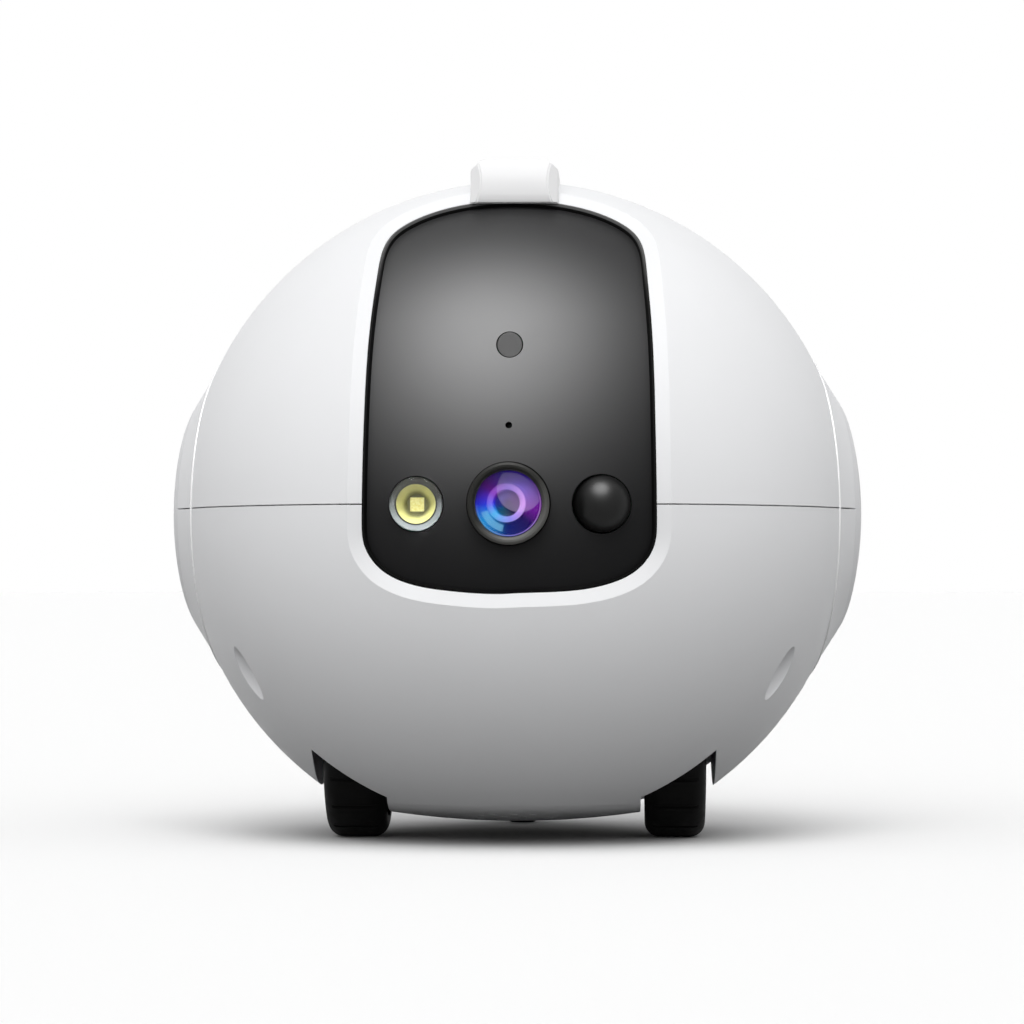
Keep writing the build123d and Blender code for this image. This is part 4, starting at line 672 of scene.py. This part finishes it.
# The lamp's window, with a rounded front edge and a hollowed rear. It ends just before the bowl.
window_gap, hollow = 0.15, 0.12
window_front = lamp_box[0][1]
thick = (lamp_box[1][1] - window_front) / MM - window_gap
window_profile = ((0, 0), (4.9, 0), (5.25, 0.1), (5.48, 0.34), (5.55, 0.7), (5.55, thick),
                  (4.6, thick), (4.45, thick - hollow), (0, thick - hollow))
window = turned("lamp_window", [(r * MM, window_front + deep * MM) for r, deep in window_profile],
                lamp_x, lamp_clear)
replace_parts(window, "led_lens")

# The motion sensor's dome, one smooth shell over its can.
dome_low, dome_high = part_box("pir_dome")
dome_x = (dome_low[0] + dome_high[0]) / 2
dome_r = (dome_high[0] - dome_low[0]) / 2
dome_wall = 0.8 * MM


def dome_arc(radius, angles):
    """Points of a quarter circle round the dome's centre, from its apex at 0 degrees."""
    middle = dome_low[1] + dome_r
    return [(radius * sin(radians(a)), middle - radius * cos(radians(a))) for a in angles]


outside = dome_arc(dome_r, range(0, 91, 5)) + [(dome_r, dome_high[1])]
inside = [(dome_r - dome_wall, dome_high[1])] + dome_arc(dome_r - dome_wall, range(90, -1, -10))
dome = turned("sensor_dome", outside + inside, dome_x, dome_black)
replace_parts(dome, "pir_dome")


# ---- The lid's tab ------------------------------------------------------------------------------
def lid_tab():
    """The tab over the panel's upper edge: a bowed front, chamfered corners and rounded edges."""
    low, high = (Vector(corner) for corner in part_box("lid_tab"))
    half, front, top = (high.x - low.x) / 2, low.y, high.z
    rear_gap, bend, round_off, rounded_over = 0.15, radians(40), 0.3 * MM, radians(30)
    rear = (high.y - front) / MM - rear_gap
    # Millimetres back from the front and down from the top: the front first, then the rear.
    profile = ((3.7, 0), (3.1, 0.1), (2.6, 0.35), (2.2, 0.7), (1.88, 1.2), (1.28, 2.4),
               (0.75, 3.6), (0.42, 4.6), (0.2, 5.6), (0.05, 6.8), (0, 8.0), (0.08, 9.6),
               (0.3, 10.0), (1.9, 10.0), (2.5, 8.9), (rear, 8.9), (rear, 2.2), (16.4, 0))
    outline = [(front + back * MM, top - down * MM) for back, down in profile]
    count = len(outline)
    mesh = bmesh.new()
    left, right = ([mesh.verts.new((x, y, z)) for y, z in outline] for x in (-half, half))
    mesh.faces.new(left)
    mesh.faces.new(right[::-1])
    for k in range(count):
        mesh.faces.new((left[k], right[k], right[(k + 1) % count], left[(k + 1) % count]))
    # Cut off the front and the upper corners, each by a plane through a point of the side.
    for side in (-1, 1):
        front_corner = ((side * half, front + 1.9 * MM, top - 8 * MM), (side, -1, 0.25))
        top_corner = ((side * half, front, top - 2.5 * MM), (side, 0, 1))
        for point, normal in (front_corner, top_corner):
            cut = bmesh.ops.bisect_plane(mesh, geom=mesh.verts[:] + mesh.edges[:] + mesh.faces[:],
                                         dist=1e-7, plane_co=point, plane_no=normal,
                                         clear_outer=True)
            rim = [item for item in cut["geom_cut"] if isinstance(item, bmesh.types.BMEdge)]
            bmesh.ops.contextual_create(mesh, geom=rim)
    bmesh.ops.recalc_face_normals(mesh, faces=mesh.faces)
    sharp = [edge for edge in mesh.edges
             if len(edge.link_faces) == 2 and edge.calc_face_angle() > rounded_over]
    bmesh.ops.bevel(mesh, geom=sharp, offset=round_off, segments=2, affect="EDGES",
                    clamp_overlap=True)
    return add_piece(mesh, "tab_cover", tab_white, "lid", bend)


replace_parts(lid_tab(), "lid_tab")


# ---- The fine bead where a side hub leaves the ball ---------------------------------------------
def bead(name, side):
    """A polished line round the foot of a side hub."""
    around, section = 180, 10  # steps round the hub and round the line itself
    axis = Vector((side * cos(hub_back), sin(hub_back), 0))
    across = axis.cross(UP)
    foot = ball_middle + axis * sqrt(ball_r ** 2 - hub_foot_r ** 2)
    mesh = bmesh.new()
    rings = []
    for k in range(around):
        turn = 2 * pi * k / around
        out = across * cos(turn) + UP * sin(turn)
        middle = foot + out * hub_foot_r
        turns = [2 * pi * j / section for j in range(section)]
        rings.append([mesh.verts.new(middle + (out * cos(a) + axis * sin(a)) * bead_r)
                      for a in turns])
    for k in range(around):
        near, away = rings[k], rings[(k + 1) % around]
        for j in range(section):
            following = (j + 1) % section
            mesh.faces.new((near[j], near[following], away[following], away[j]))
    add_piece(mesh, name, bead_white, "housing")


bead("hub_bead_left", -1)
bead("hub_bead_right", 1)


# ---- Floor --------------------------------------------------------------------------------------
def lay_floor():
    """White with a contact shade where it is seen, and darker for the light it sends back."""
    reach, shade_reach, bounce_grey = 30.0, 0.14, 0.125
    darkest, lightest = (0.15, 0.42), (0.62, 1.0)  # each at its share of open sky
    corners = [(x * reach, y * reach, 0) for x, y in ((-1, -1), (1, -1), (1, 1), (-1, 1))]
    mesh = bpy.data.meshes.new("floor")
    mesh.from_pydata(corners, [], [(0, 1, 2, 3)])
    floor = bpy.data.objects.new("floor", mesh)
    bpy.context.scene.collection.objects.link(floor)
    paint = bpy.data.materials.new("floor")
    tree = new_tree(paint)
    openness = add_node(tree, "AmbientOcclusion", Distance=shade_reach)
    openness.samples = 12
    contact = add_node(tree, "ValToRGB")
    for element, (at, shade) in zip(contact.color_ramp.elements, (darkest, lightest)):
        element.position = at
        element.color = (shade, shade, shade, 1)
    shown = add_node(tree, "BsdfDiffuse")
    tree.links.new(openness.outputs["AO"], contact.inputs["Fac"])
    tree.links.new(contact.outputs["Color"], shown.inputs["Color"])
    bounce = add_node(tree, "BsdfDiffuse", Color=(bounce_grey, bounce_grey, bounce_grey, 1))
    show_directly(tree, bounce, shown, "OutputMaterial")
    mesh.materials.append(paint)


lay_floor()
